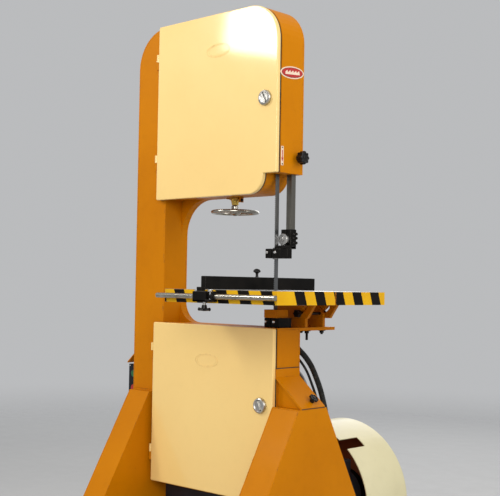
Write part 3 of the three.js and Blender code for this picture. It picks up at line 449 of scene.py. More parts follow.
def loft(rings, axis="y", caps=(True, True)):
    """A skin through rings of (outline, height), closed at its ends."""
    part = bmesh.new()
    rows = [[part.verts.new(lift(p, axis, height)) for p in outline] for outline, height in rings]
    for low, high in zip(rows, rows[1:]):
        for i in range(len(low)):
            part.faces.new((low[i - 1], low[i], high[i], high[i - 1]))
    for row, wanted in zip((rows[0], rows[-1]), caps):
        if wanted:
            part.faces.new(row)
    bmesh.ops.recalc_face_normals(part, faces=part.faces)
    return part


def slab(outline, axis, low, high, edge=0.8):
    """An outline with thickness, its rims rounded."""
    if edge <= 0:
        return loft([(outline, low), (outline, high)], axis)
    small = inset(outline, edge)
    mid = inset(outline, edge * 0.3)
    return loft([(small, low), (mid, low + edge * 0.3), (outline, low + edge), (outline, high - edge),
                 (mid, high - edge * 0.3), (small, high)], axis)


def panel(x, z, radius, steps=5):
    """A rectangle with rounded corners, from its two extents."""
    return fillet([(x[0], z[0], radius), (x[1], z[0], radius), (x[1], z[1], radius), (x[0], z[1], radius)],
                  steps)


def block(x, y, z, edge=0.8, corner=None):
    """A box with rounded edges. The ones along Z take the corner radius."""
    return slab(panel(x, y, edge if corner is None else corner, 3), "z", z[0], z[1], edge)


def turned(profile, axis, centre=(0, 0), sides=64, closed=False):
    """A profile of (radius, height) pairs spun about an axis through centre."""
    part = bmesh.new()
    rows = []
    for radius, height in profile:
        ring = circle(radius, sides, centre) if radius > 1e-6 else [centre]
        rows.append([part.verts.new(lift(p, axis, height)) for p in ring])
    if closed:
        rows.append(rows[0])
    for low, high in zip(rows, rows[1:]):
        for k in range(sides):
            ring = [low[k - 1 if len(low) > 1 else 0], low[k if len(low) > 1 else 0],
                    high[k if len(high) > 1 else 0], high[k - 1 if len(high) > 1 else 0]]
            ring = [v for i, v in enumerate(ring) if v is not ring[i - 1]]
            if len(ring) > 2:
                part.faces.new(ring)
    bmesh.ops.recalc_face_normals(part, faces=part.faces)
    return part


def disc(axis, centre, radius, low, high, edge=0.8, sides=48):
    return turned([(0, low), (radius - edge, low), (radius - edge * 0.3, low + edge * 0.3),
                   (radius, low + edge), (radius, high - edge), (radius - edge * 0.3, high - edge * 0.3),
                   (radius - edge, high), (0, high)], axis, centre, sides)


def sweep(path, section, closed=False, scale=None):
    """A section of (side, up) points carried along a path, without twisting."""
    part = bmesh.new()
    count = len(path)
    tangents = []
    for i in range(count):
        ahead = path[(i + 1) % count] if closed or i < count - 1 else path[i]
        behind = path[i - 1] if closed or i > 0 else path[i]
        tangents.append((ahead - behind).normalized())
    guide = Vector((0, 1, 0)) if abs(tangents[0].y) < 0.9 else Vector((0, 0, 1))
    side = tangents[0].cross(guide).normalized()
    rows = []
    for i, tangent in enumerate(tangents):
        side = (side - tangent * side.dot(tangent)).normalized()
        up = side.cross(tangent)
        size = scale(i / (count - 1)) if scale else 1.0
        rows.append([part.verts.new(path[i] + (side * a + up * b) * size) for a, b in section])
    pairs = list(zip(rows, rows[1:])) + ([(rows[-1], rows[0])] if closed else [])
    for low, high in pairs:
        for k in range(len(section)):
            part.faces.new((low[k - 1], low[k], high[k], high[k - 1]))
    if not closed:
        part.faces.new(rows[0])
        part.faces.new(rows[-1])
    bmesh.ops.recalc_face_normals(part, faces=part.faces)
    return part


def smooth_path(points, steps):
    """A centripetal curve through the points, sampled evenly between each pair."""
    points = [Vector(p) for p in points]
    ends = [2 * points[0] - points[1]] + points + [2 * points[-1] - points[-2]]
    path = []
    for a, b, c, d in zip(ends, ends[1:], ends[2:], ends[3:]):
        t = [0.0]
        for p, q in ((a, b), (b, c), (c, d)):
            t.append(t[-1] + (q - p).length ** 0.5)
        for k in range(steps):
            at = t[1] + (t[2] - t[1]) * k / steps
            p1 = a.lerp(b, (at - t[0]) / (t[1] - t[0]))
            p2 = b.lerp(c, (at - t[1]) / (t[2] - t[1]))
            p3 = c.lerp(d, (at - t[2]) / (t[3] - t[2]))
            p12 = p1.lerp(p2, (at - t[0]) / (t[2] - t[0]))
            p23 = p2.lerp(p3, (at - t[1]) / (t[3] - t[1]))
            path.append(p12.lerp(p23, (at - t[1]) / (t[2] - t[1])))
    return path + [points[-1]]


def hexagon(centre, across, turn=0.0):
    radius = across / math.sqrt(3)
    return [(centre[0] + radius * math.cos(math.radians(turn + 60 * k)),
             centre[1] + radius * math.sin(math.radians(turn + 60 * k)), across * 0.04) for k in range(6)]


def moved(part, matrix):
    bmesh.ops.transform(part, matrix=matrix, verts=part.verts)
    return part


def spin(part, count, axis, centre):
    """Copies of a part, evenly round an axis."""
    whole = bmesh.new()
    mesh = bpy.data.meshes.new("copy")
    part.to_mesh(mesh)
    part.free()
    for k in range(count):
        turn = (Matrix.Translation(centre) @ Matrix.Rotation(2 * math.pi * k / count, 4, axis)
                @ Matrix.Translation(-Vector(centre)))
        one = bmesh.new()
        one.from_mesh(mesh)
        moved(one, turn)
        placed = bpy.data.meshes.new("copy")
        one.to_mesh(placed)
        one.free()
        whole.from_mesh(placed)
        bpy.data.meshes.remove(placed)
    bpy.data.meshes.remove(mesh)
    return whole


class Piece:
    """One visible piece: solids in millimetres, gathered, then placed on a body."""

    def __init__(self, name, body, *slots):
        self.name = name
        self.body = body
        self.slots = slots
        self.whole = bmesh.new()

    def add(self, part, slot=0):
        for face in part.faces:
            face.material_index = slot
        mesh = bpy.data.meshes.new("part")
        part.to_mesh(mesh)
        part.free()
        self.whole.from_mesh(mesh)
        bpy.data.meshes.remove(mesh)
        return self

    def bolt(self, axis, centre, face, out, across=13, slot=0, washer=True):
        """A hexagon head on its washer: face is the surface it sits on, out is +1 or -1 along the axis."""
        start = face
        if washer:
            self.add(disc(axis, centre, across * 0.95, *sorted((start, start + out * 1.6)), 0.4, 24), slot)
            start += out * 1.6
        thick = out * across * 0.55
        self.add(slab(fillet(hexagon(centre, across), 2), axis, *sorted((start, start + thick)),
                      across * 0.06), slot)
        self.add(disc(axis, centre, across * 0.27, *sorted((start, start + thick * 1.25)), 0.5, 20), slot)
        return self

    def screw(self, axis, centre, face, out, radius=3.5, slot=0):
        """A pan head."""
        top = face + out * radius * 0.55
        self.add(turned([(0, face), (radius, face), (radius, face + out * radius * 0.2),
                         (radius * 0.75, face + out * radius * 0.5), (radius * 0.2, top), (0, top)],
                        axis, centre, 20), slot)
        return self

    def place(self, *replaced, record_slot=None, sharp=34):
        mesh = bpy.data.meshes.new(self.name)
        self.whole.transform(TO_FRAME)
        self.whole.to_mesh(mesh)
        self.whole.free()
        for slot in self.slots:
            mesh.materials.append(FINISH[slot])
        mesh.shade_smooth()
        mesh.set_sharp_from_angle(angle=math.radians(sharp))
        made = bpy.data.objects.new(self.name, mesh)
        bpy.context.scene.collection.objects.link(made)
        made.modifiers.new("even_shading", "WEIGHTED_NORMAL").keep_sharp = True
        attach(made, self.body)
        if replaced:
            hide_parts(*replaced)
        if record_slot or self.slots[0] in RECORD_SLOTS:
            record_slot or self.slots[0]
        return made


# ------------------------------------------------------------------ the machine's pieces

DOOR_LEFT, DOOR_RIGHT = -553, -1
DOOR_DEPTH = 19.7
DOOR_SHEET = 2.5
# The door's flange ends this far back. From there to the frame a black strip is painted shade for the shaded
# gap between door and frame.
SHADE_STRIP_FRONT = 13.5
HINGE = (-559.5, 5)
HINGE_HALF = 26.5
MARK_HALF = (52, 21)
# Each door's corners with their radii, its hinge heights, and the middle of its raised oval.
DOORS = {
    "upper_door": ([(DOOR_LEFT, 1312, 6), (DOOR_LEFT, 1912, 6), (DOOR_RIGHT, 1912, 120),
                    (DOOR_RIGHT, 1375, 5), (-56, 1375, 1.5), (-56, 1312, 60)], (1441, 1791), (-262, 1790)),
    "lower_door": ([(DOOR_LEFT, 356, 6), (DOOR_LEFT, 894, 6), (DOOR_RIGHT, 894, 6),
                    (DOOR_RIGHT, 356, 6)], (452, 797), (-290, 779)),
}


def doors():
    for name, (corners, hinges, mark) in DOORS.items():
        outer = fillet(corners, 14)
        door = Piece(name + "_skin", name, "door_paint", "rubber")
        skin = [(3.4, 0), (1.5, 0.4), (0.4, 1.5), (0, 3.4), (0, SHADE_STRIP_FRONT - 0.5), (0.5, SHADE_STRIP_FRONT),
                (DOOR_SHEET, SHADE_STRIP_FRONT), (DOOR_SHEET, DOOR_SHEET)]
        door.add(loft([(inset(outer, inwards), y) for inwards, y in skin], "y"))
        # Painted shade: a black strip in the rubber finish, from the flange's end back to the frame, standing
        # for the shaded gap round the door.
        shade_gap_strip = [(inset(outer, 1.6), SHADE_STRIP_FRONT - 1), (inset(outer, 1.6), DOOR_DEPTH),
                (inset(outer, 3.6), DOOR_DEPTH), (inset(outer, 3.6), SHADE_STRIP_FRONT - 1)]
        door.add(loft(shade_gap_strip + shade_gap_strip[:1], "y", (False, False)), 1)
        for height in hinges:
            door.add(turned([(3.1, height + 0.2), (5.2, height + 0.2), (5.5, height + 0.6),
                             (5.5, height + HINGE_HALF - 0.8), (4.8, height + HINGE_HALF),
                             (0, height + HINGE_HALF), (0, height + HINGE_HALF - 2),
                             (3.1, height + HINGE_HALF - 2)], "z", HINGE, 28, closed=True))
            door.add(block((HINGE[0] + 3.5, DOOR_LEFT + 1.5), (2.4, 8.0),
                           (height + 0.3, height + HINGE_HALF - 0.5), 0.5))
        for scale, depth in ((1.0, 1.1), (0.84, 0.7)):
            oval = ellipse(MARK_HALF[0] * scale, MARK_HALF[1] * scale, 72, mark)
            door.add(sweep([lift(p, "y", 0.1) for p in oval], circle(depth, 8), closed=True))
        door.place(name)


LOCK_RADIUS = 24.5
LOCK_GRIP_LEAN = math.radians(28)


def locks():
    for name in ("upper_lock", "lower_lock"):
        low = span(name)[0]
        centre = (low.x + LOCK_RADIUS, low.z + LOCK_RADIUS)
        knob = Piece(name + "_knob", name, "satin_chrome", "bright_steel", "black_plastic")
        knob.add(turned([(0, -0.3), (23.0, -0.3), (23.6, -0.8), (23.6, -1.8), (0, -1.8)], "y", centre, 64), 2)
        rim = [(24.5, -1.8), (24.5, -5.2), (22.6, -9.2), (20.0, -10.6), (18.4, -10.9), (17.2, -9.9),
               (16.0, -8.7), (6.4, -8.3), (5.0, -8.9), (0, -9.2)]
        knob.add(turned([(0, -1.8)] + rim, "y", centre, 16))
        grip = [Vector(centre) + Matrix.Rotation(LOCK_GRIP_LEAN, 2) @ p
                for p in panel((-3.6, 3.6), (-15.6, 15.6), 2.8, 4)]
        knob.add(slab(grip, "y", -13.0, -7.8, 1.2))
        knob.add(disc("y", centre, 5, -0.4, 31, 0.5, 24), 1)
        cam = fillet([(centre[0] - 8, centre[1] - 9, 7), (centre[0] + 8, centre[1] - 9, 7),
                      (centre[0] + 8, centre[1] + 38, 5), (centre[0] - 8, centre[1] + 38, 5)], 6)
        knob.add(slab(cam, "y", 27, 31, 0.6), 1)
        knob.bolt("y", centre, 31, 1, 9, 1)
        knob.place(name, record_slot="bright_chrome")


def handwheel():
    low, high = span("tension_handwheel")
    x, y = middle("tension_handwheel").xy
    z = low.z + 12
    wheel = Piece("handwheel", "tension_handwheel", "aged_chrome", "bright_steel")
    rim = [lift(p, "z", z) for p in circle(74.5, 120, (x, y))]
    wheel.add(sweep(rim, ellipse(6.4, 6.0, 20), closed=True))
    spoke = smooth_path([(x + 11, y, z + 3), (x + 30, y, z + 1), (x + 50, y, z - 0.5), (x + 70, y, z)], 6)
    wheel.add(spin(sweep(spoke, ellipse(3.6, 6.6, 16), scale=lambda t: 1.15 - 0.3 * t), 3, "Z", (x, y, z)))
    hub = [(0, -12), (5, -12), (9.5, -10.6), (12, -8), (15.6, -6), (17, -3), (17, 5), (15, 9), (12.2, 12),
           (12.2, 20.6), (11.2, 22), (0, 22)]
    wheel.add(turned([(r, z + h) for r, h in hub], "z", (x, y), 56))
    pitch = 4.0
    turns = int((high.z - z - 24) / pitch)
    thread = [(0, z + 21)]
    for k in range(turns):
        foot = z + 22 + k * pitch
        thread += [(6.6, foot), (8.0, foot + pitch * 0.4), (8.0, foot + pitch * 0.6), (6.6, foot + pitch)]
    thread.append((0, z + 22 + turns * pitch))
    wheel.add(turned(thread, "z", (x, y), 24), 1)
    wheel.place("tension_handwheel", record_slot="bright_chrome", sharp=40)


def tension_bush():
    low, high = span("tension_bush")
    x, y = middle("tension_bush").xy
    bush = Piece("tension_bush_turned", "frame", "brass", "black_plastic", "frame_paint")
    z, top = low.z, high.z
    bush.add(turned([(8.4, z), (10.4, z), (11.2, z + 0.8), (12.0, z + 7), (14.4, z + 15), (15.2, z + 17),
                     (19.2, z + 17.6), (20, z + 18.4), (20, z + 24.2), (19.2, z + 25), (8.4, z + 25)],
                    "z", (x, y), 48, closed=True))
    bush.place("tension_bush")
    stop = Piece("tension_stop", "frame", "frame_paint", "black_plastic")
    stop.add(block((x + 24, x + 30), (y - 9, y + 9), (top - 16, top), 0.6))
    stop.add(block((x - 30, x - 21), (y - 12, y + 12), (top - 4, top), 0.6))
    stop.bolt("x", (y, top - 9), x + 30, 1, 6, 1)
    stop.place(record_slot="frame_paint")


def band_wheel(body, axle, centre, names):
    """A cast wheel with six tapered spokes, and its crowned tyre."""
    x, y, z = centre
    wheel = Piece(body + "_casting", body, "raw_iron", "bright_steel")
    rim = [(229.5, -14), (231, -15), (242.4, -15), (243.7, -13.8), (243.7, 13.8), (242.4, 15), (231, 15),
           (229.5, 14)]
    hub = [(axle, -18), (33, -18), (36, -15.5), (36, 17), (34, 20), (axle, 20)]
    for profile, sides in ((rim, 128), (hub, 56)):
        wheel.add(turned([(r, y + h) for r, h in profile], "y", (x, z), sides, closed=True))
    spoke = [Vector((x + r, y, z)) for r in (30, 60, 110, 160, 205, 232)]
    section = [(13.5 * math.sin(a), 6.8 * math.cos(a) - 2 * math.sin(a) ** 3) for a in angles(20)]
    shape = sweep(spoke, section, scale=lambda t: 1.12 - 0.5 * t + 0.4 * t * t)
    wheel.add(spin(shape, 6, "Y", (x, y, z)))
    wheel.place(names[0])
    tyre = Piece(body + "_rubber", body, "rubber")
    crown = [(244.2, -14.6), (248.6, -15), (249.4, -13.5), (249.9, -6), (250, 0), (249.9, 6), (249.4, 13.5),
             (248.6, 15), (244.2, 14.6)]
    tyre.add(turned([(r, y + h) for r, h in crown], "y", (x, z), 128, closed=True))
    tyre.place(names[1])


def wheels():
    upper, lower = middle("upper_tyre"), middle("lower_tyre")
    band_wheel("upper_wheel", 15.3, upper, ("upper_wheel", "upper_tyre"))
    band_wheel("lower_wheel", 20.3, lower, ("lower_wheel", "lower_tyre"))
    for node, body, wheel, radius, nut, sides in (("lower_shaft", "lower_wheel", lower, 20, 34, 48),
                                                  ("upper_axle", "tension_carriage", upper, 15, 26, 40)):
        axle = Piece(node + "_turned", body, "bright_steel")
        axle.add(disc("y", (wheel.x, wheel.z), radius, wheel.y - 22, span(node)[1].y, 1.2, sides))
        axle.bolt("y", (wheel.x, wheel.z), wheel.y - 20.5, -1, nut, 0)
        axle.place(node)

    y = span("lower_bearing_housing")[0].y
    housing = Piece("bearing_housing", "frame", "raw_iron", "black_iron")
    barrel = [(26, 0), (61, 0), (62, 1), (62, 12.5), (60.5, 14), (50, 15), (46, 19), (44, 30), (42, 130),
              (45, 136), (45, 162), (43.5, 164), (26, 164)]
    housing.add(turned([(r, y + h) for r, h in barrel], "y", (lower.x, lower.z), 64, closed=True))
    for k in range(4):
        a = math.radians(45 + 90 * k)
        at = (lower.x + 53.5 * math.cos(a), lower.z + 53.5 * math.sin(a))
        housing.bolt("y", at, y + 14, 1, 10, 1)
    housing.place("lower_bearing_housing")


TEETH = 556
BLADE_HALF = 0.5


def blade():
    """The toothed band: right side up, over the upper wheel, left side down, under the lower wheel."""
    low, high = span("saw_blade")
    x, radius = (low.x + high.x) / 2, (high.x - low.x) / 2 - BLADE_HALF
    bottom, top = low.z + radius + BLADE_HALF, high.z - radius - BLADE_HALF
    straight, half = top - bottom, top - bottom + math.pi * radius

    def at(run):
        """The place after that run along the band, and the way out of the loop there."""
        side = 1 if run < half else -1
        run %= half
        turn = max(0.0, run - straight) / radius
        out = side * Vector((math.cos(turn), 0, math.sin(turn)))
        start = bottom if side > 0 else top
        return Vector((x, 0, start + side * min(run, straight))) + out * radius, out

    part = bmesh.new()
    rows = []
    for k in range(TEETH):
        for share, front in ((0.0, low.y + 3.6), (0.55, low.y + 3.2), (0.82, low.y)):
            place, out = at((k + share) * 2 * half / TEETH)
            rows.append([part.verts.new(place + out * side * BLADE_HALF + Vector((0, y, 0)))
                         for side, y in ((-1, front), (-1, high.y), (1, high.y), (1, front))])
    for here, ahead in zip(rows, rows[1:] + rows[:1]):
        for k in range(4):
            part.faces.new((here[k - 1], here[k], ahead[k], ahead[k - 1]))
    bmesh.ops.recalc_face_normals(part, faces=part.faces)
    band = Piece("toothed_blade", "frame", "blade_steel")
    band.add(part)
    band.place("saw_blade")


def roller(name, body, axis):
    """A ball-bearing roller: two races with the shield sunk between them."""
    low, high = span(name)
    centre, axis_index = (low + high) / 2, AXES[axis]
    flat = (centre[axis_index[0]], centre[axis_index[1]])
    near, far = low[axis_index[2]], high[axis_index[2]]
    radius = (high.z - low.z) / 2
    inner = 5.3 if radius > 15 else 4.3
    made = Piece(name + "_bearing", body, "bright_steel", "black_iron")
    made.add(turned([(inner, near), (inner + 3, near), (inner + 3.3, near + 0.9), (radius - 5, near + 0.9),
                     (radius - 4.6, near), (radius - 0.8, near), (radius, near + 0.8), (radius, far - 0.8),
                     (radius - 0.8, far), (radius - 4.6, far), (radius - 5, far - 0.9),
                     (inner + 3.3, far - 0.9), (inner + 3, far), (inner, far)], axis, flat, 56, closed=True))
    made.place(name)


def guide_head(name, body, node, back):
    """A black guide block with its kerf, two bright jaw screws in front and a jaw each side of the blade."""
    low, high = span(node)
    head = Piece(name, body, "black_iron", "bright_chrome", "bright_steel")
    blade_x = span("saw_blade")[1].x - 0.5
    for x in ((low.x, blade_x - 1.3), (blade_x + 1.3, high.x)):
        head.add(block(x, (low.y, 76), (low.z, low.z + 30), 2.0))
    head.add(block((low.x, high.x), (75, back), (low.z, low.z + 30), 1.4))
    for x in (-68, -34):
        head.add(turned([(0, low.y - 5.0), (3.2, low.y - 5.0), (4.6, low.y - 3.6), (5.2, low.y - 1.2),
                         (5.2, low.y + 1), (0, low.y + 1)], "y", (x, low.z + 18), 32), 1)
    for side in (-1, 1):
        jaw = sorted((blade_x + side * 0.8, blade_x + side * 1.25))
        head.add(block(jaw, (low.y + 9, 70), (low.z - 3, low.z + 33), 0.1), 2)
    return head


def guides():
    guide_head("upper_guide_head", "guide_post", "upper_guide_block", 97).place("upper_guide_block")
    guide_bracket()
    lower = guide_head("lower_guide_head", "frame", "lower_guide_block", 85)
    low, high = span("lower_guide_block")
    axle = middle("lower_thrust_roller")
    for x, back in (((low.x, -56.4), 106), ((-39.6, -33), 106), ((-34, high.x), 99.5)):
        lower.add(block(x, (84, back), (low.z, high.z), 1.2))
    lower.add(disc("x", (axle.y, axle.z), 4, -70, -20, 0.4, 20), 2)
    lower.place("lower_guide_block")
    roller("upper_thrust_roller", "upper_thrust_roller", "y")
    roller("lower_thrust_roller", "lower_thrust_roller", "x")


def guide_bracket():
    """The angle casting on the post's foot that carries the upper guide block."""
    low, high = span("upper_guide_bracket")
    bracket = Piece("upper_guide_casting", "guide_post", "black_iron", "bright_steel")
    post = middle("guide_post")
    front, back = 87, high.y
    for x, y in (((low.x, post.x - 10.4), (front, back)), ((post.x + 10.3, high.x), (front, back)),
                 ((post.x - 10.5, post.x + 10.5), (front, post.y - 10.3)),
                 ((post.x - 10.5, post.x + 10.5), (post.y + 10.3, back))):
        bracket.add(block(x, y, (low.z, high.z), 0.7))
    bracket.add(block((low.x, high.x), (front, back), (low.z, 1151.5), 2.2))
    bracket.add(block((-40, high.x), (46, 89), (low.z, low.z + 9.5), 2.4))
    disc_at = middle("upper_thrust_roller")
    bracket.add(disc("y", (disc_at.x, disc_at.z), 5, 72, 90, 0.6, 24), 1)
    for z in (1188, 1175, 1160):
        bracket.add(disc("x", (100, z), 2.4, high.x - 2, -2, 0.3, 16), 1)
        bracket.add(disc("x", (100, z), 4.6, -2, 3, 0.7, 24))
    bracket.place("upper_guide_bracket")


def lobed_knob(foot, collar, top, size):
    """A clamp knob, along Z: an eight-lobed rim round a dished face, its collar and stud."""
    outline = []
    for a in angles(160):
        reach = 19.6 + 1.9 * math.cos(8 * a)
        outline.append(Vector((reach * math.cos(a), reach * math.sin(a))))
    low = collar + 8
    scaled = [[p * s * size for p in outline] for s in (0.78, 0.93, 1.0, 1.0, 0.93, 0.8, 0.62, 0.5)]
    heights = (low, low + 0.6, low + 2.4, top - 4.4, top - 1.2, top, top - 0.8, top - 2.2)
    rim = loft(list(zip(scaled, heights)), "z")
    neck = 11 * size
    stem = turned([(0, foot), (5.2, foot), (6, foot + 0.8), (6, collar), (neck - 0.6, collar),
                   (neck, collar + 0.7), (neck - 0.8, collar + 8.6), (0, collar + 8.6)], "z", (0, 0), 40)
    cap = turned([(0, top - 2.6), (6.4, top - 2.6), (6.4, top - 1.6), (5.4, top - 1.0), (0, top - 0.8)],
                 "z", (0, 0), 32)
    return rim, stem, cap


CAP_LEAN = math.atan2(85, 103)
CAP_KNOB = Vector((90, 78, 745 - 86 * 85 / 103))


def knobs():
    stud = middle("post_lock_knob")
    turn = Matrix.Rotation(math.radians(90), 4, "Y")
    for name, place, lean, shape in (
            ("post_lock_knob", Vector((0, stud.y, stud.z)), turn, (-13.5, 4, 34, 1.0)),
            ("leg_cap_knob", CAP_KNOB, Matrix.Rotation(CAP_LEAN, 4, "Y"), (-12, 3, 19, 0.74))):
        knob = Piece(name + "_moulded", name, "black_plastic")
        for part in lobed_knob(*shape):
            knob.add(moved(part, Matrix.Translation(place) @ lean))
        knob.place(name)


RAIL_Y, RAIL_Z = -214, 990
CLAMP_SCREW_Y = -226


def fence_bar():
    low, high = span("fence_bar")
    bar = Piece("fence_casting", "fence", "black_iron")
    section = fillet([(low.x, low.z, 1.5), (high.x, low.z, 1.5), (high.x, high.z, 2.5),
                      (low.x, high.z, 2.5)], 4)
    bar.add(slab(section, "y", low.y, high.y, 1.5))
    bar.place("fence_bar")


def fence_clamp():
    """Two rings round the rail, the bridge between them, and the tongue under the fence."""
    low, high = span("fence_clamp")
    clamp = Piece("fence_clamp_casting", "fence", "black_iron", "bright_chrome")
    bore, ring = 8.5, 15.8
    for near, far in ((low.x, low.x + 14), (high.x - 14, high.x)):
        clamp.add(turned([(bore, near), (ring - 0.8, near), (ring, near + 0.8), (ring, far - 0.8),
                          (ring - 0.8, far), (bore, far)], "x", (RAIL_Y, RAIL_Z), 40, closed=True))
    for x, y, z, edge in (((low.x + 2, high.x - 16), (-237, -225), (low.z, low.z + 31), 2),
                          ((low.x + 2, high.x - 2), (-237, -201), (low.z, low.z + 7.2), 2),
                          ((low.x + 2, high.x - 16), (-229, -201), (low.z + 25, low.z + 32), 2),
                          ((-116, -96), (-218, -200.4), (low.z + 25, high.z), 1.5)):
        clamp.add(block(x, y, z, edge))
    clamp.bolt("z", (-106, -230), low.z + 31, 1, 8, 1, False)
    screw = (high.x - 7, CLAMP_SCREW_Y)
    top = low.z + 29
    clamp.add(disc("z", screw, 3, low.z + 5, top + 1, 0.4, 20), 1)
    clamp.add(turned([(0, top), (6, top), (7.6, top + 1.6), (7.6, top + 6), (6, top + 8), (0, top + 8.4)],
                     "z", screw, 36), 1)
    clamp.place("fence_clamp")


def fence_screws():
    """The wing screw under the clamp and the mushroom knob on the fence."""
    low, high = span("fence_lock_knob")
    x, y = middle("fence_lock_knob").xy
    wing = Piece("fence_wing_screw", "fence_lock_knob", "black_plastic", "bright_steel")
    wing.add(disc("z", (x, y), 4.9, high.z - 16, high.z, 0.3, 24), 1)
    wing.add(turned([(0, low.z + 8), (7.4, low.z + 8), (8.8, low.z + 10), (7.2, high.z - 9), (0, high.z - 9)],
                    "z", (x, y), 32))
    grip = [Vector((x + t, y, low.z + 6 - 1.2 * math.cos(t / 7.5))) for t in range(-22, 23, 2)]
    wing.add(sweep(grip, ellipse(4.6, 5.2, 16), scale=lambda t: 0.72 + 0.4 * (2 * t - 1) ** 2))
    wing.place("fence_lock_knob")

    z = span("fence_top_knob")[0].z
    top = Piece("fence_mushroom_knob", "fence_top_knob", "black_plastic")
    top.add(turned([(0, z), (5.4, z), (5.4, z + 1.2), (4.4, z + 2), (4.2, z + 10), (5.6, z + 13),
                    (10.4, z + 15.4), (12, z + 17.6), (11.6, z + 20.6), (8.6, z + 24.2), (4, z + 26.2),
                    (0, z + 26.7)], "z", middle("fence_top_knob").xy, 48))
    top.place("fence_top_knob")


def fence_rail():
    """The round rail on the table's front, with its two brackets."""
    low, high = span("fence_rail")
    rail = Piece("fence_rail_bar", "table", "aged_chrome", "black_iron")
    rail.add(disc("x", (RAIL_Y, RAIL_Z), 8, low.x, high.x, 1.2, 48))
    for x in (-275, 174):
        rail.add(block((x, x + 16), (RAIL_Y + 2, -200.3), (RAIL_Z - 7, RAIL_Z + 7), 1), 1)
    rail.place("fence_rail", record_slot="bright_chrome")


MOTOR_SHAFT_HEIGHT = 104.7        # over the motor's feet
COWL_DEPTH = 25.5


def motor():
    low, high = span("motor_body")
    x, z = middle("motor_body").x, low.z + MOTOR_SHAFT_HEIGHT
    y0, y1 = low.y, high.y
    body = Piece("motor_casting", "frame", "motor_paint", "black_iron", "bright_steel")
    casing = [(0, y0), (34, y0), (36, y0 + 3), (58, y0 + 4), (70, y0 + 6), (80, y0 + 14), (84, y0 + 20),
              (84, y1 - 52), (89, y1 - 50), (90, y1 - 48), (90, y1 - 8), (86, y1 - 2), (78, y1), (0, y1)]
    body.add(turned(casing, "y", (x, z), 72))
    end = y1 + COWL_DEPTH
    body.add(turned([(84, y1 - 6), (86, y1 - 2), (86, end - 3), (83, end), (80, end), (80, y1 - 6)],
                    "y", (x, z), 72, closed=True), 1)
    fin = block((x + 82, x + 91.5), (y0 + 24, y1 - 56), (z - 1.3, z + 1.3), 0.4)
    body.add(spin(fin, 36, "Y", (x, 0, z)))
    for r in (20, 34, 48, 62):
        body.add(turned([(r, y1 - 0.2), (r + 5, y1 - 0.2), (r + 5, y1 + 0.25), (r, y1 + 0.25)],
                        "y", (x, z), 48, closed=True), 1)
    for side in (-1, 1):
        foot = sorted((x + side * 50, x + side * 88))
        web = sorted((x + side * 56, x + side * 74))
        for y in (445, 545):
            body.add(block(foot, (y, y + 40), (low.z, low.z + 10), 1.5))
            body.add(block(web, (y + 4, y + 36), (low.z + 8, low.z + 44), 1.5))
            body.bolt("z", (x + side * 80, y + 20), low.z + 10, 1, 12, 2)
    body.place("motor_body")


def terminal_box():
    low, high = span("terminal_box")
    box = Piece("terminal_box_moulded", "frame", "motor_paint", "bright_steel")
    box.add(block((low.x, high.x), (low.y, high.y), (low.z + 34, high.z - 5), 2.5, 6))
    box.add(block((low.x + 18, high.x), (low.y + 4, high.y - 4), (low.z + 2, low.z + 36), 1.5, 4))
    box.add(block((low.x - 1, high.x + 1), (low.y - 0.4, high.y + 1), (high.z - 5.5, high.z), 2, 7))
    for cx in (low.x + 8, high.x - 8):
        for cy in (low.y + 8, high.y - 8):
            box.screw("z", (cx, cy), high.z, 1, 3.2, 1)
    box.place("terminal_box")


SHEAVE_FRONT = 333
SHEAVE_WIDTH = 44
MOTOR_SHEAVE, DRIVEN_SHEAVE = 56, 140
BELT_SINK = 4.1                    # the belts' middle, inside the sheaves' rims


def sheave_rim(radius):
    """The outline of a rim with two V grooves."""
    rim = [(radius, SHEAVE_FRONT)]
    for groove in (SHEAVE_FRONT + 12, SHEAVE_FRONT + 32):
        rim += [(radius, groove - 6.2), (radius - 9, groove - 4), (radius - 9, groove + 4),
                (radius, groove + 6.2)]
    return rim + [(radius, SHEAVE_FRONT + SHEAVE_WIDTH)]


def pulleys():
    y, back = SHEAVE_FRONT, SHEAVE_FRONT + SHEAVE_WIDTH
    low, high = span("motor_pulley")
    centre = (middle("motor_pulley").x, middle("motor_pulley").z)
    small = Piece("motor_pulley_sheave", "motor_pulley", "raw_iron", "bright_steel")
    small.add(turned([(0, y)] + sheave_rim(MOTOR_SHEAVE) + [
        (MOTOR_SHEAVE - 16, back), (24, back + 2), (22, back + 16), (0, back + 16)], "y", centre, 72))
    small.add(disc("y", centre, 14, low.y, high.y, 0.8, 36), 1)
    small.place("motor_pulley")

    centre = (middle("driven_pulley").x, middle("driven_pulley").z)
    bore = 20.3
    large = Piece("driven_pulley_sheave", "lower_wheel", "raw_iron", "bright_steel")
    large.add(turned(sheave_rim(DRIVEN_SHEAVE) + [
        (DRIVEN_SHEAVE - 20, back), (DRIVEN_SHEAVE - 22, y + 30), (50, y + 28), (44, back), (bore, back),
        (bore, y), (44, y), (50, y + 16), (DRIVEN_SHEAVE - 22, y + 14), (DRIVEN_SHEAVE - 20, y)],
        "y", centre, 96, closed=True))
    large.place("driven_pulley")


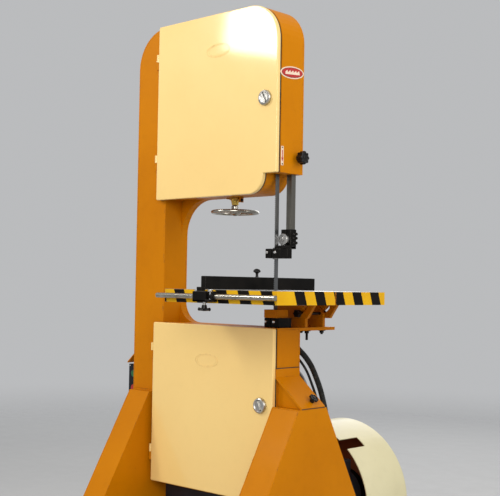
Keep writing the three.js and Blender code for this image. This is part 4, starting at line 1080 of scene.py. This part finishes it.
def belts():
    """The two V-belts, each a closed loop round both sheaves."""
    drive, motor_at = middle("driven_pulley"), middle("motor_pulley")
    big, small = DRIVEN_SHEAVE - BELT_SINK, MOTOR_SHEAVE - BELT_SINK
    lean = math.atan2(drive.z - motor_at.z, drive.x - motor_at.x)
    wrap = math.acos((small - big) / math.hypot(motor_at.x - drive.x, motor_at.z - drive.z))
    for name in ("front_belt", "rear_belt"):
        path = []
        for centre, radius, start, turn, steps in (
                (drive, big, lean + wrap, 2 * wrap, 40),
                (motor_at, small, lean - wrap, 2 * math.pi - 2 * wrap, 28)):
            for k in range(steps + 1):
                a = start - turn * k / steps
                path.append(Vector((centre.x + radius * math.cos(a), middle(name).y,
                                    centre.z + radius * math.sin(a))))
        belt = Piece(name + "_moulded", "frame", "rubber")
        belt.add(sweep(path, [(-3.8, -3.4), (3.8, -4.9), (3.8, 4.9), (-3.8, 3.4)], closed=True))
        belt.place(name)


DRUM_SHEET = 3.0
DRUM_HOLE = 70
NOTCH_AT, NOTCH_HALF, NOTCH_DEPTH = 53, 4.8, 97    # degrees, degrees, millimetres


def drum_guard():
    low, high = span("drum_guard")
    centre = (middle("drum_guard").x, middle("drum_guard").z)
    radius = (high.x - low.x) / 2
    y0, y1 = low.y, high.y
    notch = [math.radians(NOTCH_AT - NOTCH_HALF), math.radians(NOTCH_AT + NOTCH_HALF)]
    drum = Piece("drum_guard_shell", "frame", "guard_paint", "primer")
    drum.add(shell(*centre, radius, y0, y1, notch, NOTCH_DEPTH, True))
    drum.add(shell(*centre, radius - DRUM_SHEET, y0, y1 - DRUM_SHEET, notch, NOTCH_DEPTH, False), 1)
    drum.add(turned([(DRUM_HOLE, y1 - DRUM_SHEET), (DRUM_HOLE, y1), (DRUM_HOLE + 4, y1), (radius - 8, y1),
                     (radius - 2.4, y1 - 0.7), (radius - 0.05, y1 - 6)], "y", centre, 112))
    drum.add(turned([(DRUM_HOLE, y1 - DRUM_SHEET), (radius - DRUM_SHEET, y1 - DRUM_SHEET)],
                    "y", centre, 112), 1)
    drum.place("drum_guard")


def shell(cx, cz, radius, y0, y1, notch, depth, outer):
    """A drum's wall as an open skin, notched from its front rim. The outer one has the rim's edge too."""
    part = bmesh.new()
    sides = 150
    cuts = sorted(angles(sides) + notch)
    cuts = [a for i, a in enumerate(cuts) if i == 0 or a - cuts[i - 1] > 1e-3]
    levels = [y0, y0 + depth, y1 - 6]
    point = {}

    def vertex(i, level, inward=0.0):
        key = (i % len(cuts), level, inward)
        if key not in point:
            a = cuts[i % len(cuts)]
            r = radius - inward
            point[key] = part.verts.new((cx + r * math.cos(a), levels[level], cz + r * math.sin(a)))
        return point[key]

    for i in range(len(cuts)):
        mid = (cuts[i] + (cuts[(i + 1) % len(cuts)] if i + 1 < len(cuts) else 2 * math.pi)) / 2
        open_here = notch[0] < mid < notch[1]
        for level in range(2):
            if level == 0 and open_here:
                continue
            part.faces.new((vertex(i, level), vertex(i + 1, level), vertex(i + 1, level + 1),
                            vertex(i, level + 1)))
        if outer:
            level = 1 if open_here else 0
            part.faces.new((vertex(i, level), vertex(i + 1, level), vertex(i + 1, level, DRUM_SHEET),
                            vertex(i, level, DRUM_SHEET)))
    if outer:
        for a in notch:
            i = min(range(len(cuts)), key=lambda k: abs(cuts[k] - a))
            part.faces.new((vertex(i, 0), vertex(i, 1), vertex(i, 1, DRUM_SHEET), vertex(i, 0, DRUM_SHEET)))
    bmesh.ops.recalc_face_normals(part, faces=part.faces)
    return part


# The leads' routes, from the junction box to the motor's terminal box.
CONDUIT = [(-49.7, 152, 833), (-41, 152, 833), (-26, 153, 822), (-4, 157, 802), (18, 161, 774),
           (38, 165, 734), (51, 169, 699), (60, 174, 660), (62, 184, 620), (56, 203, 575), (40, 228, 530),
           (12, 258, 490), (-24, 292, 456), (-62, 330, 430), (-94, 372, 412), (-115, 412, 402),
           (-118, 440, 400), (-118, 449.6, 400)]
THIN_LEAD = [(-49.7, 148, 806), (-43, 148, 806), (-30, 149, 798), (-12, 152, 780), (6, 156, 754),
             (21, 160, 720), (33, 164, 688), (41, 169, 652), (43, 178, 612), (37, 196, 566), (22, 220, 520),
             (-4, 248, 480), (-36, 282, 442), (-70, 320, 410), (-98, 362, 388), (-111, 406, 376),
             (-113, 440, 372), (-113, 449.6, 372)]
CONDUIT_RADIUS, LEAD_RADIUS = 9.5, 4


CONDUIT_RIDGES = 132


def gland(lead, sink):
    """A cable gland's outline round a lead, sunk into the box that it's screwed in."""
    return [(lead + 0.4, -sink), (lead + 5, -sink), (lead + 5, 5), (lead + 3, 6), (lead + 2, 9),
            (lead + 0.4, 9)]


def wiring():
    """The corrugated conduit and the thin lead, with a gland at each of their ends."""
    hose = Piece("corrugated_conduit", "frame", "cable_sheath")
    hose.add(sweep(smooth_path(CONDUIT, 34), circle(CONDUIT_RADIUS, 16),
                   scale=lambda t: 0.93 + 0.07 * math.sin(2 * math.pi * CONDUIT_RIDGES * t)))
    hose.place("motor_conduit")
    lead = Piece("thin_lead", "frame", "cable_sheath")
    lead.add(sweep(smooth_path(THIN_LEAD, 6), circle(LEAD_RADIUS, 14)))
    lead.place("motor_lead")
    glands = Piece("cable_glands", "frame", "black_plastic", "bright_steel")
    for route, radius in ((CONDUIT, CONDUIT_RADIUS), (THIN_LEAD, LEAD_RADIUS)):
        (x, y, z), (end_x, end_y, end_z) = route[0], route[-1]
        glands.add(turned([(r, x + h) for r, h in gland(radius, 0.1)], "x", (y, z), 24, closed=True))
        glands.add(turned([(r, end_y - h) for r, h in gland(radius, 0.2)], "y", (end_x, end_z), 24,
                          closed=True))
    glands.place(record_slot="black_plastic")


def junction_box():
    low, high = span("junction_box")
    box = Piece("junction_box_moulded", "frame", "black_plastic", "bright_steel")
    box.add(slab(panel((low.x, high.x), (low.z, high.z), 5), "y", low.y, high.y - 8, 1.2))
    box.add(slab(panel((low.x, high.x), (low.z, high.z), 6), "y", high.y - 7.4, high.y, 1.8))
    for cx in (low.x + 8, high.x - 8):
        for cz in (low.z + 8, high.z - 8):
            box.screw("y", (cx, cz), high.y, 1, 3, 1)
    box.place("junction_box")


def switch():
    low, high = span("switch_box")
    box = Piece("switch_box_pressed", "frame", "black_sheet", "bright_steel", "black_plastic")
    box.add(slab(panel((low.x, high.x), (low.z, high.z), 5), "y", low.y + 17, high.y, 1.5))
    buttons = (middle("start_button"), middle("stop_button"))
    cuts = [low.z, (buttons[0].z + buttons[1].z) / 2, high.z]
    for button, (z0, z1) in zip(reversed(buttons), zip(cuts, cuts[1:])):
        plate_with_hole(box, (low.x, high.x), (z0, z1), low.y, low.y + 17, (button.x, button.z), 11.4)
        box.add(turned([(11.6, low.y - 1.6), (14, low.y - 1.6), (15, low.y), (11.6, low.y)], "y",
                       (button.x, button.z), 36, closed=True), 2)
    for cx in (low.x + 5, high.x - 5):
        for cz in (low.z + 6, high.z - 6):
            box.screw("y", (cx, cz), low.y, -1, 2.6, 1)
    box.place("switch_box")
    for name, slot in (("start_button", "green_plastic"), ("stop_button", "red_plastic")):
        low, high = span(name)
        button = Piece(name + "_cap", name, slot)
        button.add(turned([(0, low.y + 0.7), (7, low.y + 0.4), (9.6, low.y), (10.6, low.y + 0.7),
                           (11, low.y + 2), (11, low.y + 12), (9, low.y + 12.2), (9, high.y), (0, high.y)],
                          "y", (middle(name).x, middle(name).z), 40))
        button.place(name)


def plate_with_hole(piece, x, z, front, back, centre, radius, slot=0):
    """A rectangular block with a round hole right through it."""
    sides = 40
    hole = circle(radius, sides, centre)
    rim = []
    for p in hole:
        d = p - Vector(centre)
        reach = min(((x[1] if d.x > 0 else x[0]) - centre[0]) / d.x if abs(d.x) > 1e-6 else 1e9,
                    ((z[1] if d.y > 0 else z[0]) - centre[1]) / d.y if abs(d.y) > 1e-6 else 1e9)
        rim.append(Vector(centre) + d * reach)
    corners = [Vector((a, b)) for a in x for b in z]
    for corner in corners:
        nearest = min(range(sides), key=lambda k: (rim[k] - corner).length)
        rim[nearest] = corner
    part = bmesh.new()
    rows = [[part.verts.new(lift(p, "y", h)) for p in ring]
            for ring, h in ((hole, front), (rim, front), (rim, back), (hole, back))]
    for a, b in zip(rows, rows[1:] + rows[:1]):
        for k in range(sides):
            part.faces.new((a[k - 1], a[k], b[k], b[k - 1]))
    bmesh.ops.recalc_face_normals(part, faces=part.faces)
    piece.add(part, slot)


def weld(name, points, radius=2.6, body="frame", slot="frame_paint"):
    """A painted weld bead: a low lumpy roll along a seam."""
    path = []
    points = [Vector(p) for p in points]
    for a, b in zip(points, points[1:]):
        steps = max(2, int((b - a).length / 3))
        path += [a.lerp(b, k / steps) for k in range(steps)]
    path.append(points[-1])
    bead = Piece(name, body, slot)
    count = len(path)

    def size(t):
        place = path[min(count - 1, int(t * (count - 1)))]
        ripple = 0.1 * math.sin(t * count * 1.9)
        return 1 + ripple + 0.28 * noise.noise(place * 0.035)

    bead.add(sweep(path, circle(radius, 8), scale=size))
    bead.place()


LEG_SPREAD = 0.56                  # how far a leg's front edge runs out for each unit of height


def leg_welds():
    leg_low, leg_high = span("right_leg")
    top, foot = leg_high.z, 12
    for name, x in (("right_leg_inner", leg_low.x + 1.2), ("right_leg_outer", leg_high.x - 1.2),
                    ("left_leg_outer", span("left_leg")[0].x + 1.2)):
        weld(name + "_front_weld", [(x, -LEG_SPREAD * (top - z) + 0.6, z) for z in (top - 2, foot)], 1.8)
    weld("right_leg_top_weld", [(2, -0.4, top - 1), (leg_high.x - 2, -0.4, top - 1)], 1.8)


def column_weld():
    weld("column_foot_weld", [(-672, 19.8, 655.5), (-531, 19.8, 655.5)], 1.8)


def cap_painted_shadow_lines():
    """Painted shadow: black strips for the shaded gap where the leg's cap meets the frame, and for the shadow
    under the cap's lip on the leg.
    """
    low, high = span("right_leg_cap")
    shade_lines = Piece("cap_painted_shadow_lines", "frame", "rubber")
    # Painted shade in the gap at the cap's top, against the frame.
    shade_lines.add(block((0.1, 3.6), (13, 121), (high.z - 1, high.z + 2.4), 0.5))
    # Painted shadow under the cap's lip, where it meets the leg.
    shade_lines.add(block((high.x - 2, high.x + 1.2), (13, 121), (low.z - 0.4, low.z + 2.2), 0.5))
    shade_lines.place(record_slot="rubber")


BADGE_AT = Vector((68, 1693))
BADGE_LEAN = math.radians(5)
BADGE_TEETH = [(-34, -6), (-34, 1), (-25, 7), (-22, 0), (-11, 7), (-8, 0), (3, 7), (6, 0), (17, 7), (20, 0),
               (31, 7), (34, -1), (34, -6)]
ARROW = [(25.5, 1446), (25.5, 1422), (22.6, 1422), (27.2, 1409), (31.8, 1422), (28.9, 1422), (28.9, 1446)]


def badge():
    """A plain oval plate with a row of saw teeth on it."""
    plate = Piece("badge", "frame", "badge_pale", "badge_red", "badge_dark")

    def set_down(points):
        return [BADGE_AT + Matrix.Rotation(BADGE_LEAN, 2) @ Vector(p) for p in points]

    for along, up, low, high, edge, slot in ((55.5, 19.5, -0.3, 1.2, 0.4, 0), (50.5, 16.0, 0.8, 1.6, 0.2, 2),
                                             (48.5, 14.2, 1.2, 2.0, 0.3, 1)):
        plate.add(slab(set_down(ellipse(along, up, 80)), "x", low, high, edge), slot)
    plate.add(slab(set_down(reversed(BADGE_TEETH)), "x", 1.8, 2.5, 0.0))
    plate.place()


def direction_plate():
    """A small plate with an arrow for the way the blade runs."""
    plate = Piece("blade_direction_plate", "frame", "badge_pale", "badge_red", "black_iron")
    plate.add(slab(panel((21.5, 33), (1398, 1458), 2, 4), "x", -0.2, 1.0, 0.3))
    plate.add(slab([Vector(p) for p in ARROW], "x", 0.8, 1.3, 0.0), 1)
    for z in (1402.5, 1453.5):
        plate.screw("x", (27.2, z), 1.0, 1, 2.4, 2)
    plate.place()


def frame_bolts():
    """The table bracket's bolts, from below, and those of the motor bracket at the back."""
    bolts = Piece("frame_bolts", "frame", "black_iron")
    for y, shank in ((175, 30), (250, 13)):
        for x in (-100, -14):
            bolts.bolt("z", (x, y), 883.5, -1, 13, 0)
            bolts.add(disc("z", (x, y), 4, 883.5 - shank, 883.5, 0.5, 20))
    for x, z in ((-190, 560), (-240, 560), (-414, 690), (-364, 690)):
        bolts.bolt("y", (x, z), BACK_PLATE_REAR, 1, 13, 0)
    bolts.place()


# How far each kept CAD shape's edges are rounded, in millimetres.
CAD_FINISH_EDGES = {
    "back_plate": 1.4, "outer_wrap": 2.0, "throat_wrap": 1.6, "base_wrap": 1.6, "column_front": 1.2,
    "sawdust_chute": 0.8, "left_leg": 2.0, "right_leg": 2.0, "right_leg_cap": 1.2, "lower_blade_guard": 1.2,
    "tension_slide": 1.0, "guide_post": 0.8, "post_sleeve": 1.2, "table_top": 1.6, "table_insert": 0.4,
    "table_trunnion": 1.4, "table_bracket": 1.4, "tilt_lock": 0.8, "motor_bracket": 1.4, "switch_hood": 0.8,
}
OWN_FINISH = {"table_top": "table", "guide_post": "dark_steel"}


def carried_over():
    """The CAD nodes whose shape is right: merged faces, rounded edges and their finish."""
    slots = {part["node"]: part["material_slot"] for part in frame["record"]["subparts"]}
    for name, width in CAD_FINISH_EDGES.items():
        node = frame["nodes"][name]
        finish = FINISH[OWN_FINISH.get(name, slots[name])]
        node.data.materials.clear()
        node.data.materials.append(finish)
        for polygon in node.data.polygons:
            polygon.material_index = 0
            polygon.use_smooth = True
        flat = node.modifiers.new("merged_faces", "DECIMATE")
        flat.decimate_type = "DISSOLVE"
        flat.angle_limit = math.radians(1.0)
        soft = node.modifiers.new("rounded_edges", "BEVEL")
        soft.width = width * MM
        soft.segments = 3
        soft.limit_method = "ANGLE"
        soft.angle_limit = math.radians(32)
        soft.harden_normals = False
        node.modifiers.new("smooth_by_angle", "WEIGHTED_NORMAL").keep_sharp = True


bpy.context.scene.view_settings.view_transform = "Standard"
camera()
RECORD_SLOTS = {material["slot"] for material in frame["record"]["materials"]}
FINISH = finishes()
studio()
carried_over()
for build in (doors, locks, handwheel, tension_bush, wheels, blade, guides, knobs, fence_bar, fence_clamp,
              fence_screws, fence_rail, motor, terminal_box, pulleys, belts, drum_guard, wiring, junction_box,
              switch, leg_welds, cap_painted_shadow_lines, column_weld, badge, direction_plate, frame_bolts):
    build()
